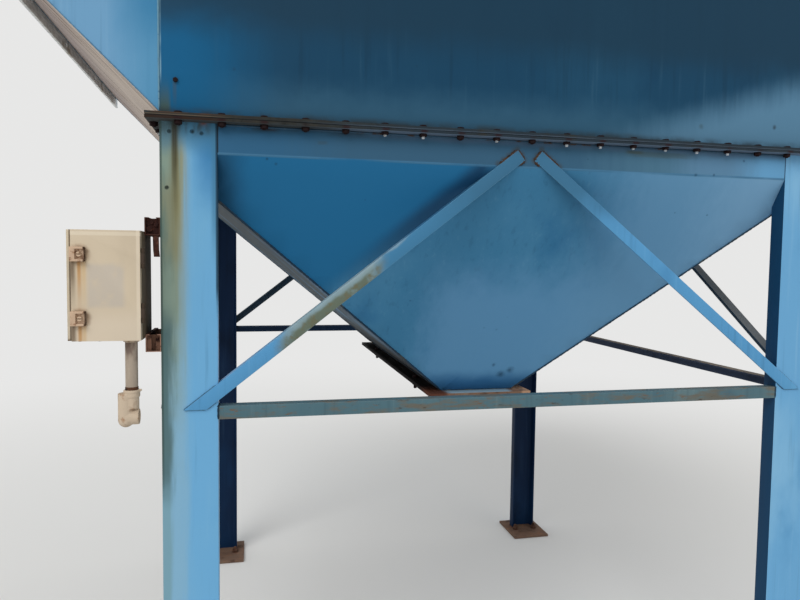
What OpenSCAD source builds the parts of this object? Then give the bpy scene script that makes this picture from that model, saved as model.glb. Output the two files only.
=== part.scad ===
// Hopper-bottom dust separator: a rectangular steel housing bolted over a pyramid hopper on four
// channel legs, braced on all four sides, with a small control box on the front left leg.
// Sizes are millimetres. X runs along the front, the front faces -Y, and Z is up.
// The origin is on the ground, in the middle of the four legs.

/* [Frame] */
// Width over the legs, left to right
frame_w = 1800; // [1600:10:2200]
// Depth over the legs, front to back
frame_d = 1950; // [1750:10:2300]
// Height of the bolted joint between hopper and housing
joint_z = 1861; // [1800:1:2000]
// Web width of a leg channel
leg_web = 127; // [100:1:150]
// Flange width of a leg channel
leg_flange = 44.5; // [40:0.5:60]
// Web thickness of a leg channel
leg_web_t = 5; // [4:0.5:8]
// Flange thickness of a leg channel
leg_flange_t = 8; // [5:0.5:10]
// Diameter of the spare holes near the top of the front left leg
spare_hole_d = 9; // [6:0.5:14]

/* [Base plates] */
// Width of a base plate, left to right
base_w = 200; // [170:5:260]
// Length of a base plate, front to back
base_len = 236; // [200:1:280]
// Thickness of a base plate
base_t = 12; // [8:1:20]
// How far a base plate reaches past the outer face of its leg
base_reach = 68; // [40:1:80]
// Distance between the two anchor holes of a plate
anchor_pitch = 110; // [90:1:130]
// Distance of the anchor holes from the edge of the leg's flange
anchor_clear = 20.5; // [16:0.5:30]
// Diameter of an anchor hole
anchor_d = 18; // [14:1:24]

/* [Hopper] */
// Thickness of the hopper plates
hopper_t = 5; // [3:0.5:8]
// Height of the upright band at the top of the hopper
skirt_h = 68; // [40:1:120]
// Height of the lower edge of the hopper above the ground
outlet_z = 1138; // [900:1:1250]
// Width of the hopper's lower edge, left to right
outlet_w = 230; // [180:5:400]
// Depth of the hopper's lower edge, front to back
outlet_d = 1200; // [900:10:1400]
// Weld gap between two plates that meet at a hip
hip_gap = 0.3; // [0.1:0.1:1]

/* [Bolted lips] */
// How far the joint lips stand out past the frame
lip_out = 28; // [24:1:40]
// How far the joint lips reach inwards over plates and legs
lip_in = 30; // [20:1:60]
// Thickness of one joint lip
lip_t = 8; // [5:1:12]
// Width of the outlet flange past the hopper's lower edge
outlet_lip = 48; // [40:1:70]
// Thickness of the outlet flange
outlet_lip_t = 12; // [6:1:16]
// Distance of the outlet flange holes out from the hopper's lower edge
outlet_hole_out = 25; // [20:1:32]
// Diameter of an outlet flange hole
outlet_hole_d = 14; // [10:1:18]

/* [Bracing] */
// Leg length of the angles in braces and ties
angle_leg = 32; // [28:1:50]
// Thickness of the angles in braces and ties
angle_t = 5; // [3:0.5:6]
// Height of the top of the ties
tie_z = 1194; // [1000:1:1300]
// Height above the joint at which the top edges of a pair of braces would meet
brace_rise = -8; // [-14:1:10]
// How far each brace stops short of the middle of its side
brace_apex_gap = 33; // [20:1:60]
// Distance of a brace's foot from the leg's outer edge, front and back
brace_inset_front = 58; // [30:1:70]
// Distance of a brace's foot from the leg's outer edge, left and right
brace_inset_side = 36; // [20:1:42]
// How far a brace's foot reaches below the top of the ties
brace_drop = 7; // [2:1:20]
// Running gap where the inner leg of a brace is cut short of other steel
cope_gap = 2; // [1:0.5:5]

/* [Housing] */
// Height of the housing walls
housing_h = 1900; // [1700:10:2600]
// Thickness of the housing and duct plates
wall_t = 5; // [3:0.5:8]
// Thickness of the roof plate
roof_t = 5; // [3:0.5:8]
// Depth of the turned-down edge of the roof
roof_edge = 60; // [40:1:100]
// Gap between the roof's edge and the walls
roof_gap = 0.5; // [0.2:0.1:2]

/* [Duct transitions] */
// Height of a transition where it meets the housing
duct_h = 1500; // [1300:10:1600]
// Length of a transition
duct_len = 430; // [350:10:500]
// Slope of the lower and upper plates, rise over length
duct_slope = 1; // [0.8:0.01:1.2]
// Slope of the front and back plates, inset over length
duct_taper = 0.25; // [0.1:0.01:0.4]
// Height of a transition above the joint lip
duct_sill = 6; // [2:1:20]
// Border of wall plate left around the opening behind a transition
duct_border = 40; // [20:1:80]
// Width of a duct flange
duct_lip = 40; // [30:1:60]
// Thickness of a duct flange
duct_lip_t = 8; // [5:1:12]
// Diameter of a duct flange hole
duct_hole_d = 12; // [8:1:16]

/* [Control box] */
// Width of the control box
box_w = 154; // [130:1:220]
// Height of the control box
box_h = 243; // [200:1:320]
// Depth of the control box body
box_depth = 141.5; // [100:0.5:200]
// Sheet thickness of the control box
box_t = 2; // [1:0.5:3]
// Width of the rim around the open front of the box
box_rim = 12; // [8:1:16]
// Height of the bottom of the control box above the ground
box_z = 1358.5; // [1250:0.5:1450]
// Thickness of the box door over its turned edge
door_t = 12; // [8:1:16]
// Width of the strip of box that the door leaves open for the clamps
door_strip = 11; // [6:1:16]
// Closed gap between door and box
door_gap = 0.5; // [0.2:0.1:1]
// Radius of a hinge knuckle
knuckle_r = 4; // [3:0.5:5]
// Radius of the hinge pin
pin_r = 1.5; // [1:0.1:2]
// Running clearance of the hinge pin
pin_gap = 0.05; // [0.02:0.01:0.1]
// Length of the middle knuckle of a hinge
knuckle_len = 22; // [16:1:30]
// Width of a door clamp
clamp_w = 30; // [24:1:40]
// Height of a door clamp
clamp_h = 32; // [24:1:40]
// Depth of a door clamp
clamp_depth = 13; // [8:1:15]

/* [Box supports and conduit] */
// Width of a support channel, between box and leg
strut_w = 34; // [28:1:42]
// Height of a support channel
strut_h = 41; // [36:1:50]
// Length of a support channel
strut_len = 150; // [110:1:200]
// Sheet thickness of the support channel
strut_t = 2.5; // [2:0.5:4]
// Turned-in lips of the support channel
strut_lip = 9; // [6:1:12]
// Outer diameter of the conduit
conduit_d = 27; // [20:0.5:34]
// Wall thickness of the conduit
conduit_t = 2.5; // [1.5:0.5:4]
// Free length of the conduit between box and elbow
conduit_len = 115; // [80:1:200]
// Clearance between the braces and a conduit that passes in front of them
conduit_clear = 2; // [1:0.5:10]
// Distance of the conduit's axis behind the face of the door
conduit_inset = 34.5; // [32:0.5:60]
// Width of the conduit elbow's body
elbow_w = 34; // [30:1:44]
// Height of the conduit elbow's body
elbow_h = 86; // [78:1:110]
// Distance of the elbow's body to the left of the conduit's axis
elbow_shift = 13; // [4:1:16]

/* [Hidden] */

$fn = 48;
half_w = frame_w / 2;
half_d = frame_d / 2;
span = 2 * (frame_w + frame_d + joint_z + housing_h);  // longer than any part, for cutting
fit = 0.5;  // clearance of a plate cut around a leg
paint = [0.22, 0.49, 0.68];
paint_pale = [0.42, 0.64, 0.78];
rusty = [0.42, 0.27, 0.20];
beige = [0.78, 0.74, 0.66];
grey = [0.66, 0.63, 0.58];

// Heights that follow from the joint
lip_low_z = joint_z - lip_t;
bend_z = lip_low_z - skirt_h;
wall_z = joint_z + lip_t;
roof_z = wall_z + housing_h;
hopper_len = bend_z - outlet_z;

// Spare holes in the front left leg: in from its outer edge and down from its top, to each hole's axis
spare_holes = [[21.5, 23], [71.5, 21], [92.5, 24], [15.5, 150]];

// Horizontal thickness of a sloped plate that steps in by `inset` over `len`
function slant_t(t, inset, len) = t * sqrt(len * len + inset * inset) / len;

// Inner edges of the hopper at its outlet
outlet_in_x = outlet_w / 2 - slant_t(hopper_t, half_w - outlet_w / 2, hopper_len);
outlet_in_y = outlet_d / 2 - slant_t(hopper_t, half_d - outlet_d / 2, hopper_len);
outlet_hole_pitch = outlet_d / 5;  // six holes along each long side

// Duct transitions
duct_z = wall_z + duct_sill + duct_h / 2;
duct_end_y = half_d - duct_taper * duct_len;
duct_end_z = duct_h / 2 - duct_slope * duct_len;
duct_in_y = duct_end_y - slant_t(wall_t, duct_taper * duct_len, duct_len);
duct_in_z = duct_end_z - slant_t(wall_t, duct_slope * duct_len, duct_len);

// Control box: its conduit runs down in front of the leg and the braces
strut_x = -half_w - strut_w;
box_x = strut_x - box_w;
conduit_y = -half_d - angle_t - conduit_clear - conduit_d / 2;
door_y = conduit_y - conduit_inset;
box_y = door_y + door_t + door_gap;
pin_x = strut_x + knuckle_r;
pin_y = door_y + knuckle_r;
door_right_x = strut_x - 1;
door_left_x = box_x + door_strip;
hinge_zs = [box_z + box_h / 4, box_z + box_h * 3 / 4];
clamp_low = 0.207;  // heights of the clamps as shares of the box
clamp_high = 0.781;
clamp_zs = [box_z + box_h * clamp_low, box_z + box_h * clamp_high];
clamp_post = 11;  // width of a clamp's solid post, and thickness of its other walls
clamp_edge = 5;
strut_lap = 8;  // height of each channel that lies against the box
strut_zs = [box_z + strut_lap - strut_h, box_z + box_h - strut_lap];

// Conduit
conduit_place = 0.825;  // share of the box's width, from the left
conduit_x = box_x + box_w * conduit_place;
elbow_top_z = box_z - conduit_len;
hub_wall = 4;
hub_r = conduit_d / 2 + hub_wall;
hub_len = 16;
hub_sill = 6;  // height of the body left below the side hub
elbow_x = conduit_x - elbow_shift;
side_hub_z = elbow_top_z - elbow_h + hub_r + hub_sill;

// Everything on the side of a plane that its normal points to
module half_space(point, normal) {
    length = norm(normal);
    translate(point)
        rotate([0, acos(normal[2] / length), atan2(normal[1], normal[0])])
            translate([-span, -span, 0])
                cube([2 * span, 2 * span, 2 * span]);
}

// Polygon drawn in the YZ plane and run along X, centred
module run_x(length, points) {
    rotate([90, 0, 90])
        translate([0, 0, -length / 2])
            linear_extrude(length)
                polygon(points);
}

// One plate of a four-sided taper, on its -Y side. The taper runs up from a base of half sizes
// bx, by at z = 0 to half sizes ex, ey at z = len, and the plate is mitred to its neighbours.
module taper_plate(bx, by, ex, ey, len, t, skirt = 0) {
    th = slant_t(t, by - ey, len);
    inner_bend = (t - th) * len / (by - ey);
    front_n = [0, -len, by - ey] / norm([len, by - ey]);
    side_n = [len, 0, bx - ex] / norm([len, bx - ex]);
    outline = skirt > 0
        ? [[-by, -skirt], [-by, 0], [-ey, len], [-ey + th, len], [-by + t, inner_bend], [-by + t, -skirt]]
        : [[-by, 0], [-ey, len], [-ey + th, len], [-by + th, 0]];
    intersection() {
        run_x(2 * bx, outline);
        half_space([-bx + hip_gap / 2, -by, 0], front_n - [-side_n[0], side_n[1], side_n[2]]);
        half_space([bx - hip_gap / 2, -by, 0], front_n - side_n);
    }
}

// Outline of a leg channel, with its web on -Y and its outer corner at 0, 0
module channel_outline() {
    difference() {
        square([leg_web, leg_flange]);
        translate([leg_flange_t, leg_web_t])
            square([leg_web - 2 * leg_flange_t, leg_flange]);
    }
}

// Places children, drawn for the front left corner, at the corner named by its signs
module at_corner(sx, sy) {
    mirror([sx > 0 ? 1 : 0, 0, 0])
        mirror([0, sy > 0 ? 1 : 0, 0])
            children();
}

module leg(sx, sy, holes = false) {
    color(paint_pale)
        at_corner(sx, sy)
            difference() {
                translate([-half_w, -half_d, base_t])
                    linear_extrude(lip_low_z - base_t)
                        channel_outline();
                if (holes)
                    for (p = spare_holes)
                        translate([-half_w + p[0], -half_d - 1, lip_low_z - p[1]])
                            rotate([-90, 0, 0])
                                cylinder(h = leg_web_t + 2, d = spare_hole_d);
            }
}

module base_plate(sx, sy) {
    color(rusty)
        at_corner(sx, sy)
            translate([-half_w + leg_web / 2, -half_d - base_reach, 0])
                difference() {
                    translate([-base_w / 2, 0, 0])
                        cube([base_w, base_len, base_t]);
                    for (s = [-1, 1])
                        translate([s * anchor_pitch / 2, base_reach + leg_flange + anchor_clear, -1])
                            cylinder(h = base_t + 2, d = anchor_d);
                }
}

// The space that the legs take up, with a little clearance, for cutting plates around them
module leg_spaces(clearance) {
    for (sx = [-1, 1], sy = [-1, 1])
        at_corner(sx, sy)
            translate([-half_w - clearance, -half_d - clearance, 0])
                cube([leg_web + 2 * clearance, leg_flange + 2 * clearance, lip_low_z + 1]);
}

// Angle bar along X on the -Y side: upright leg in front, level leg on top
module tie(length, face) {
    color(paint)
        translate([0, -face, tie_z])
            run_x(length, [[0, 0], [0, -angle_leg], [angle_t, -angle_leg], [angle_t, -angle_t],
                [angle_leg, -angle_t], [angle_leg, 0]]);
}

// Half sizes of a side of the frame, then its brace inset, how far a leg covers it, and its half outlet
front_side = [half_w, half_d, brace_inset_front, leg_web, outlet_d / 2];
end_side = [half_d, half_w, brace_inset_side, leg_flange, outlet_w / 2];

// Left brace of the pair on the -Y face of a frame side. Its flat leg lies on the face of the frame,
// and its other leg points inwards from the top edge, cut short of the leg and the hopper.
module brace(side) {
    half_len = side[0];
    face = side[1];
    run = half_len - side[2];
    foot = face - side[4];
    slope = atan2(joint_z + brace_rise - tie_z, run);
    bar = (run - brace_apex_gap) / cos(slope);
    spare = 3 * angle_leg;  // length past the foot, trimmed level below
    color(paint_pale)
        difference() {
            translate([-run, -face, tie_z])
                rotate([0, -slope, 0])
                    translate([-spare, -angle_t, 0]) {
                        translate([0, 0, -angle_leg])
                            cube([bar + spare, angle_t, angle_leg]);
                        translate([0, 0, -angle_t])
                            cube([bar + spare, angle_leg, angle_t]);
                    }
            translate([-span, -span, tie_z - brace_drop - span])
                cube([2 * span, 2 * span, span]);
            translate([0, -face, 0])
                run_x(2 * span, [[0, bend_z - cope_gap], [foot, outlet_z - cope_gap],
                    [face, outlet_z - cope_gap], [face, roof_z], [0, roof_z]]);
            translate([-half_len - span, -face, 0])
                cube([span + side[3] + cope_gap, span, span]);
        }
}

// Flat rectangular ring lying in XY, from inner half sizes to outer half sizes
module ring(in_x, in_y, out_x, out_y, t) {
    difference() {
        translate([-out_x, -out_y, 0])
            cube([2 * out_x, 2 * out_y, t]);
        translate([-in_x, -in_y, -1])
            cube([2 * in_x, 2 * in_y, t + 2]);
    }
}

module joint_lip(z) {
    color(rusty)
        translate([0, 0, z])
            ring(half_w - lip_in, half_d - lip_in, half_w + lip_out, half_d + lip_out, lip_t);
}

// A hopper plate: side 0 is the front, and each step turns a quarter
module hopper_plate(turns) {
    along = turns % 2 == 0;
    color(paint)
        difference() {
            rotate([0, 0, 90 * turns])
                translate([0, 0, bend_z])
                    mirror([0, 0, 1])
                        taper_plate(along ? half_w : half_d, along ? half_d : half_w,
                            (along ? outlet_w : outlet_d) / 2, (along ? outlet_d : outlet_w) / 2,
                            hopper_len, hopper_t, skirt_h);
            leg_spaces(fit);
        }
}

module outlet_flange() {
    color(rusty)
        translate([0, 0, outlet_z - outlet_lip_t])
            difference() {
                ring(outlet_in_x, outlet_in_y, outlet_w / 2 + outlet_lip, outlet_d / 2 + outlet_lip,
                    outlet_lip_t);
                for (sx = [-1, 1], n = [-2.5:1:2.5])
                    translate([sx * (outlet_w / 2 + outlet_hole_out), n * outlet_hole_pitch, -1])
                        cylinder(h = outlet_lip_t + 2, d = outlet_hole_d);
            }
}

module long_wall(sy) {
    color(paint)
        at_corner(-1, sy)
            translate([-half_w, -half_d, wall_z])
                cube([frame_w, wall_t, housing_h]);
}

module side_wall(sx) {
    color(paint)
        at_corner(sx, -1)
            difference() {
                translate([-half_w, -half_d + wall_t, wall_z])
                    cube([wall_t, frame_d - 2 * wall_t, housing_h]);
                translate([-half_w - 1, -half_d + duct_border, duct_z - duct_h / 2 + duct_border])
                    cube([wall_t + 2, frame_d - 2 * duct_border, duct_h - 2 * duct_border]);
            }
}

module housing_roof() {
    out = wall_t + roof_gap;
    color(paint)
        difference() {
            translate([-half_w - out, -half_d - out, roof_z - roof_edge])
                cube([frame_w + 2 * out, frame_d + 2 * out, roof_edge + roof_t]);
            translate([-half_w - roof_gap, -half_d - roof_gap, roof_z - roof_edge - 1])
                cube([frame_w + 2 * roof_gap, frame_d + 2 * roof_gap, roof_edge + 1]);
        }
}

// Turns a taper that runs up +Z into one that runs out from the left or right wall
module at_duct(sx) {
    mirror([sx > 0 ? 1 : 0, 0, 0])
        translate([-half_w, 0, duct_z])
            rotate([0, -90, 0])
                children();
}

// A duct plate: the taper's X is the height here, and its Y is the depth
module duct_side_plate(sx, turns) {
    color(paint_pale)
        at_duct(sx)
            rotate([0, 0, 90 * turns])
                taper_plate(duct_h / 2, half_d, duct_end_z, duct_end_y, duct_len, wall_t);
}

module duct_level_plate(sx, turns) {
    color(paint_pale)
        at_duct(sx)
            rotate([0, 0, 90 * turns])
                taper_plate(half_d, duct_h / 2, duct_end_y, duct_end_z, duct_len, wall_t);
}

module duct_flange(sx) {
    hole_y = duct_end_y + duct_lip / 2;
    hole_z = duct_end_z + duct_lip / 2;
    color(rusty)
        at_duct(sx)
            translate([0, 0, duct_len])
                difference() {
                    ring(duct_in_z, duct_in_y, duct_end_z + duct_lip, duct_end_y + duct_lip, duct_lip_t);
                    for (s = [-1, 1]) {
                        for (n = [-2:2])
                            translate([s * hole_z, n * hole_y / 2, -1])
                                cylinder(h = duct_lip_t + 2, d = duct_hole_d);
                        translate([0, s * hole_y, -1])
                            cylinder(h = duct_lip_t + 2, d = duct_hole_d);
                    }
                }
}

module control_box() {
    color(beige) {
        difference() {
            translate([box_x, box_y, box_z])
                cube([box_w, box_depth, box_h]);
            translate([box_x + box_t, box_y + box_t, box_z + box_t])
                cube([box_w - 2 * box_t, box_depth - 2 * box_t, box_h - 2 * box_t]);
            translate([box_x + box_rim, box_y - 1, box_z + box_rim])
                cube([box_w - 2 * box_rim, box_t + 2, box_h - 2 * box_rim]);
            translate([conduit_x, conduit_y, box_z - 1])
                cylinder(h = box_t + 2, d = conduit_d - 2 * conduit_t);
        }
        // outer knuckles and pin of each hinge, on a leaf along the side of the box
        for (z = hinge_zs) {
            translate([pin_x, pin_y, z - knuckle_len])
                cylinder(h = 2 * knuckle_len, r = pin_r);
            for (s = [-1, 1])
                translate([0, 0, z + s * (knuckle_len * 3 / 4 + fit / 2) - knuckle_len / 4]) {
                    translate([pin_x, pin_y, 0])
                        cylinder(h = knuckle_len / 2, r = knuckle_r);
                    translate([strut_x, pin_y, 0])
                        cube([box_t, box_y - pin_y + knuckle_r, knuckle_len / 2]);
                }
        }
    }
}

module control_box_door() {
    color(beige)
        difference() {
            union() {
                translate([door_left_x, door_y, box_z])
                    cube([door_right_x - door_left_x, door_t, box_h]);
                for (z = hinge_zs) {
                    translate([pin_x, pin_y, z - knuckle_len / 2])
                        cylinder(h = knuckle_len, r = knuckle_r);
                    translate([door_right_x - 1, door_y, z - knuckle_len / 2])
                        cube([pin_x - door_right_x + 1, box_t, knuckle_len]);
                }
            }
            translate([door_left_x + box_t, door_y + box_t, box_z + box_t])
                cube([door_right_x - door_left_x - 2 * box_t, door_t, box_h - 2 * box_t]);
            for (z = hinge_zs)
                translate([pin_x, pin_y, z - knuckle_len])
                    cylinder(h = 2 * knuckle_len, r = pin_r + pin_gap);
        }
}

// Screw clamps on the free edge of the door
module door_clamps() {
    color(rusty)
        for (z = clamp_zs)
            translate([door_left_x, door_y - clamp_depth, z - clamp_h / 2])
                difference() {
                    cube([clamp_w, clamp_depth, clamp_h]);
                    translate([clamp_post, -1, clamp_edge])
                        cube([clamp_w, clamp_depth - clamp_edge + 1, clamp_h - 2 * clamp_edge]);
                }
}

// Two lengths of channel, bolted to the side of the leg, that carry the box
module box_struts() {
    color(rusty)
        for (z = strut_zs)
            translate([strut_x, -half_d + strut_len, z])
                rotate([90, 0, 0])
                    linear_extrude(strut_len)
                        difference() {
                            square([strut_w, strut_h]);
                            translate([strut_t, strut_t])
                                square([strut_w - 2 * strut_t, strut_h - 2 * strut_t]);
                            translate([strut_lip, strut_h - strut_t - 1])
                                square([strut_w - 2 * strut_lip, strut_t + 2]);
                        }
}

module conduit_drop() {
    color(grey)
        translate([conduit_x, conduit_y, elbow_top_z])
            difference() {
                cylinder(h = conduit_len, d = conduit_d);
                translate([0, 0, -1])
                    cylinder(h = conduit_len + 2, d = conduit_d - 2 * conduit_t);
            }
}

// Conduit elbow with a long body, a hub on top and a hub to the right
module conduit_elbow() {
    color(grey)
        difference() {
            union() {
                translate([conduit_x, conduit_y, elbow_top_z - hub_len])
                    cylinder(h = hub_len, r = hub_r);
                translate([elbow_x, conduit_y, elbow_top_z - elbow_h + elbow_w / 2])
                    cylinder(h = elbow_h - elbow_w / 2 - hub_len / 2, d = elbow_w);
                translate([elbow_x, conduit_y, elbow_top_z - elbow_h + elbow_w / 2])
                    sphere(d = elbow_w);
                translate([elbow_x, conduit_y, side_hub_z])
                    rotate([0, 90, 0])
                        cylinder(h = conduit_x - elbow_x + hub_len, r = hub_r);
                translate([conduit_x, conduit_y, elbow_top_z - elbow_h / 2])
                    cylinder(h = elbow_h / 2 - hub_len / 2, r = hub_r - 2);
            }
            translate([conduit_x, conduit_y, side_hub_z])
                rotate([0, 90, 0])
                    cylinder(h = hub_len + 1, d = conduit_d);
        }
}

base_plate(-1, -1);  // base_plate_front_left
base_plate(1, -1);  // base_plate_front_right
base_plate(-1, 1);  // base_plate_back_left
base_plate(1, 1);  // base_plate_back_right
leg(-1, -1, holes = true);  // leg_front_left
leg(1, -1);  // leg_front_right
leg(-1, 1);  // leg_back_left
leg(1, 1);  // leg_back_right
tie(frame_w - 2 * leg_web, half_d);  // tie_front
mirror([0, 1, 0]) tie(frame_w - 2 * leg_web, half_d);  // tie_back
rotate([0, 0, -90]) tie(frame_d - 2 * leg_flange, half_w);  // tie_left
rotate([0, 0, 90]) tie(frame_d - 2 * leg_flange, half_w);  // tie_right
brace(front_side);  // brace_front_left
mirror([1, 0, 0]) brace(front_side);  // brace_front_right
mirror([0, 1, 0]) brace(front_side);  // brace_back_left
rotate([0, 0, 180]) brace(front_side);  // brace_back_right
rotate([0, 0, -90]) brace(end_side);  // brace_left_back
mirror([0, 1, 0]) rotate([0, 0, -90]) brace(end_side);  // brace_left_front
rotate([0, 0, 90]) brace(end_side);  // brace_right_front
mirror([0, 1, 0]) rotate([0, 0, 90]) brace(end_side);  // brace_right_back
outlet_flange();
hopper_plate(0);  // hopper_front
hopper_plate(2);  // hopper_back
hopper_plate(3);  // hopper_left
hopper_plate(1);  // hopper_right
joint_lip(lip_low_z);  // hopper_lip
joint_lip(joint_z);  // housing_lip
long_wall(-1);  // housing_front
long_wall(1);  // housing_back
side_wall(-1);  // housing_left
side_wall(1);  // housing_right
housing_roof();
duct_side_plate(-1, 0);  // inlet_front
duct_side_plate(-1, 2);  // inlet_back
duct_level_plate(-1, 1);  // inlet_top
duct_level_plate(-1, 3);  // inlet_bottom
duct_flange(-1);  // inlet_flange
duct_side_plate(1, 0);  // outlet_duct_front
duct_side_plate(1, 2);  // outlet_duct_back
duct_level_plate(1, 1);  // outlet_duct_top
duct_level_plate(1, 3);  // outlet_duct_bottom
duct_flange(1);  // outlet_duct_flange
control_box();
control_box_door();
door_clamps();
box_struts();
conduit_drop();
conduit_elbow();
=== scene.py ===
import math
import random

import bmesh
import bpy
from mathutils import Matrix, Vector, noise


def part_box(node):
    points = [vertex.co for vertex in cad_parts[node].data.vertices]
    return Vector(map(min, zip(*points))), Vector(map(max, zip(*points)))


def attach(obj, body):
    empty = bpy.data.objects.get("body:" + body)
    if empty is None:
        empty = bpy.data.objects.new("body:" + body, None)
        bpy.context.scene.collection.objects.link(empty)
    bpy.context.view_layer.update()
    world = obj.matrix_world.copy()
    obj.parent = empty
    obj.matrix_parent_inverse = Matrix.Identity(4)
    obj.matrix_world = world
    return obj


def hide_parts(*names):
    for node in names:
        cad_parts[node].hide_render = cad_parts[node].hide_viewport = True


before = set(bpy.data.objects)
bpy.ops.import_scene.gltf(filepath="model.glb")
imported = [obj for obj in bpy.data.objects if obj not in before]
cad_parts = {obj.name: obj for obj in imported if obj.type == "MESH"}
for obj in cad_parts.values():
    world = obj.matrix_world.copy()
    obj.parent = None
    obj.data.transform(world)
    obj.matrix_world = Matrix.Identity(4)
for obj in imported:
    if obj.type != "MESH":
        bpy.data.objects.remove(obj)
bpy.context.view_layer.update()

# Base plates: square-cut steel plates under the four legs. They were never painted well and are
# now brown rust, with a galvanised anchor stud, washer and nut through each of two holes.
MM = 0.001


def paint_rgb(red, green, blue):
    """A colour written as a screen shows it, 0 to 255, turned into the light it stands for."""
    shares = [c / 255 for c in (red, green, blue)]
    return [s / 12.92 if s <= 0.04045 else ((s + 0.055) / 1.055) ** 2.4 for s in shares] + [1.0]


class Finish:
    """A surface finish, laid down coat by coat on one base colour."""

    def __init__(self, name, colour, roughness, metallic=0.0, gloss=0.12):
        self.material = bpy.data.materials.new(name)
        self.material.use_nodes = True
        self.tree = self.material.node_tree
        self.shader = self.tree.nodes["Principled BSDF"]
        self.shader.inputs["Metallic"].default_value = metallic
        self.shader.inputs["Specular IOR Level"].default_value = gloss
        self.colour = paint_rgb(*colour)
        self.roughness = roughness
        self.height = None
        self.wired = {}

    def plug(self, value, socket):
        """Sets a socket. A mask is a function of the finish that wears it, and is wired up only once."""
        if callable(value):
            if value not in self.wired:
                self.wired[value] = value(self)
            value = self.wired[value]
        if isinstance(value, bpy.types.NodeSocket):
            self.tree.links.new(value, socket)
        else:
            socket.default_value = value

    def add(self, kind, inputs, output=0, **settings):
        """Adds a shader node and gives back one of its outputs."""
        node = self.tree.nodes.new(f"ShaderNode{kind}")
        for setting, value in settings.items():
            setattr(node, setting, value)
        for socket, value in inputs.items():
            self.plug(value, node.inputs[socket])
        return node.outputs[output]

    def coat(self, colour, *masks, rough=None, height=None):
        """Lays another colour over what is there, where all the masks are 1."""
        mask = times(*masks)
        layers = {0: mask, 6: self.colour, 7: paint_rgb(*colour)}
        self.colour = self.add("Mix", layers, 2, data_type="RGBA")
        if rough is not None:
            self.roughness = self.add("Mix", {0: mask, 2: self.roughness, 3: rough})
        if height is not None:
            self.raise_by(mask, height)

    def raise_by(self, mask, height):
        """Lifts the surface where mask is 1, by height in millimetres."""
        lift = reckon("MULTIPLY", mask, height)
        self.height = lift if self.height is None else reckon("ADD", self.height, lift)

    def done(self):
        """The finish as a material, wired up the first time it is asked for."""
        if self.shader:
            self.plug(self.colour, self.shader.inputs["Base Color"])
            self.plug(self.roughness, self.shader.inputs["Roughness"])
            if self.height is not None:
                bump = self.add("Bump", {"Distance": MM, "Height": self.height})
                self.plug(bump, self.shader.inputs["Normal"])
            self.shader = None
        return self.material


# Masks: each says where a coat of paint, dust or rust lies, 0 to 1 over the surface.
def point_on_part(finish):
    """Where a point of the surface is, in the part's own frame."""
    return finish.add("TexCoord", {}, "Object")


def reckon(operation, a, b=0.0, clamp=False):
    """Arithmetic on two values."""
    return lambda finish: finish.add("Math", {0: a, 1: b}, operation=operation, use_clamp=clamp)


def times(*masks):
    """Several masks laid over each other: 1 only where all are 1."""
    result = masks[0]
    for mask in masks[1:]:
        result = reckon("MULTIPLY", result, mask, True)
    return result


def fade(value, start, end):
    """0 at start and 1 at end, smooth between them, and level beyond."""
    low, high = sorted((start, end))
    limits = {"Value": value, "From Min": low, "From Max": high,
              "To Min": float(start > end), "To Max": float(start < end)}
    return lambda finish: finish.add("MapRange", limits, "Result", interpolation_type="SMOOTHSTEP")


def mapped(size, stretch, shift):
    """Where a point lies in a pattern of the given size, stretched and moved along."""
    scale = [1 / (size * s) for s in stretch]
    moved = (shift, shift * 1.7, shift * 0.6)
    return lambda finish: finish.add("Mapping", {"Vector": point_on_part, "Location": moved, "Scale": scale})


def cloud(size, detail=4.0, stretch=(1, 1, 1), shift=0.0, rough=0.55):
    """Soft random patches about size metres across, drawn out along an axis by stretch."""
    look = {"Vector": mapped(size, stretch, shift), "Scale": 1.0, "Detail": detail, "Roughness": rough}
    return lambda finish: finish.add("TexNoise", look)


def patches(start, end, *look, **more):
    """The part of a cloud that lies past start, full from end on."""
    return fade(cloud(*look, **more), start, end)


def rust_over(finish, mask, scale=1.0, brown=(84, 58, 46), bright=(136, 84, 54), dark=(42, 30, 27)):
    """Flaking brown rust with orange and near-black patches, wherever mask is 1."""
    body = cloud(0.03 * scale, 6.0, shift=3.1, rough=0.7)
    grain = cloud(0.006 * scale, 3.0, shift=8.7)
    finish.coat(brown, mask, rough=0.9)
    finish.coat(bright, mask, fade(body, 0.54, 0.7))
    finish.coat(dark, mask, fade(body, 0.47, 0.34))
    finish.raise_by(times(mask, grain), 0.5)


def show(mesh, name, finish, *nodes, body="separator", slot=None):
    """Puts a finished mesh in the scene as a piece that rides on a body of the part."""
    piece = bpy.data.objects.new(name, mesh)
    bpy.context.scene.collection.objects.link(piece)
    mesh.materials.append(finish.done())
    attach(piece, body)
    if nodes:
        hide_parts(*nodes)
    return piece


def from_frame(node):
    """The frame's own solid as an open mesh: whole flat faces, with its holes."""
    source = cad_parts[node].data
    work = bmesh.new()
    work.from_mesh(source)
    bmesh.ops.remove_doubles(work, verts=work.verts, dist=0.00001)
    bmesh.ops.dissolve_limit(work, angle_limit=math.radians(0.6), verts=work.verts, edges=work.edges)
    work.normal_update()
    return work


def round_edges(work, radius, sharp=30.0, steps=2):
    """Breaks the sharp edges, as a grinder or years of paint do."""
    keen = [e for e in work.edges if e.is_manifold and e.calc_face_angle(0) > math.radians(sharp)]
    bmesh.ops.bevel(work, geom=keen, offset=radius, segments=steps, profile=0.5,
                    affect="EDGES", clamp_overlap=True)


def finished(work, smooth=30.0):
    """Turns the working mesh into a mesh with clean normals."""
    bmesh.ops.recalc_face_normals(work, faces=work.faces)
    mesh = bpy.data.meshes.new("piece")
    work.to_mesh(mesh)
    work.free()
    mesh.shade_smooth()
    mesh.set_sharp_from_angle(angle=math.radians(smooth))
    return mesh


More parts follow.
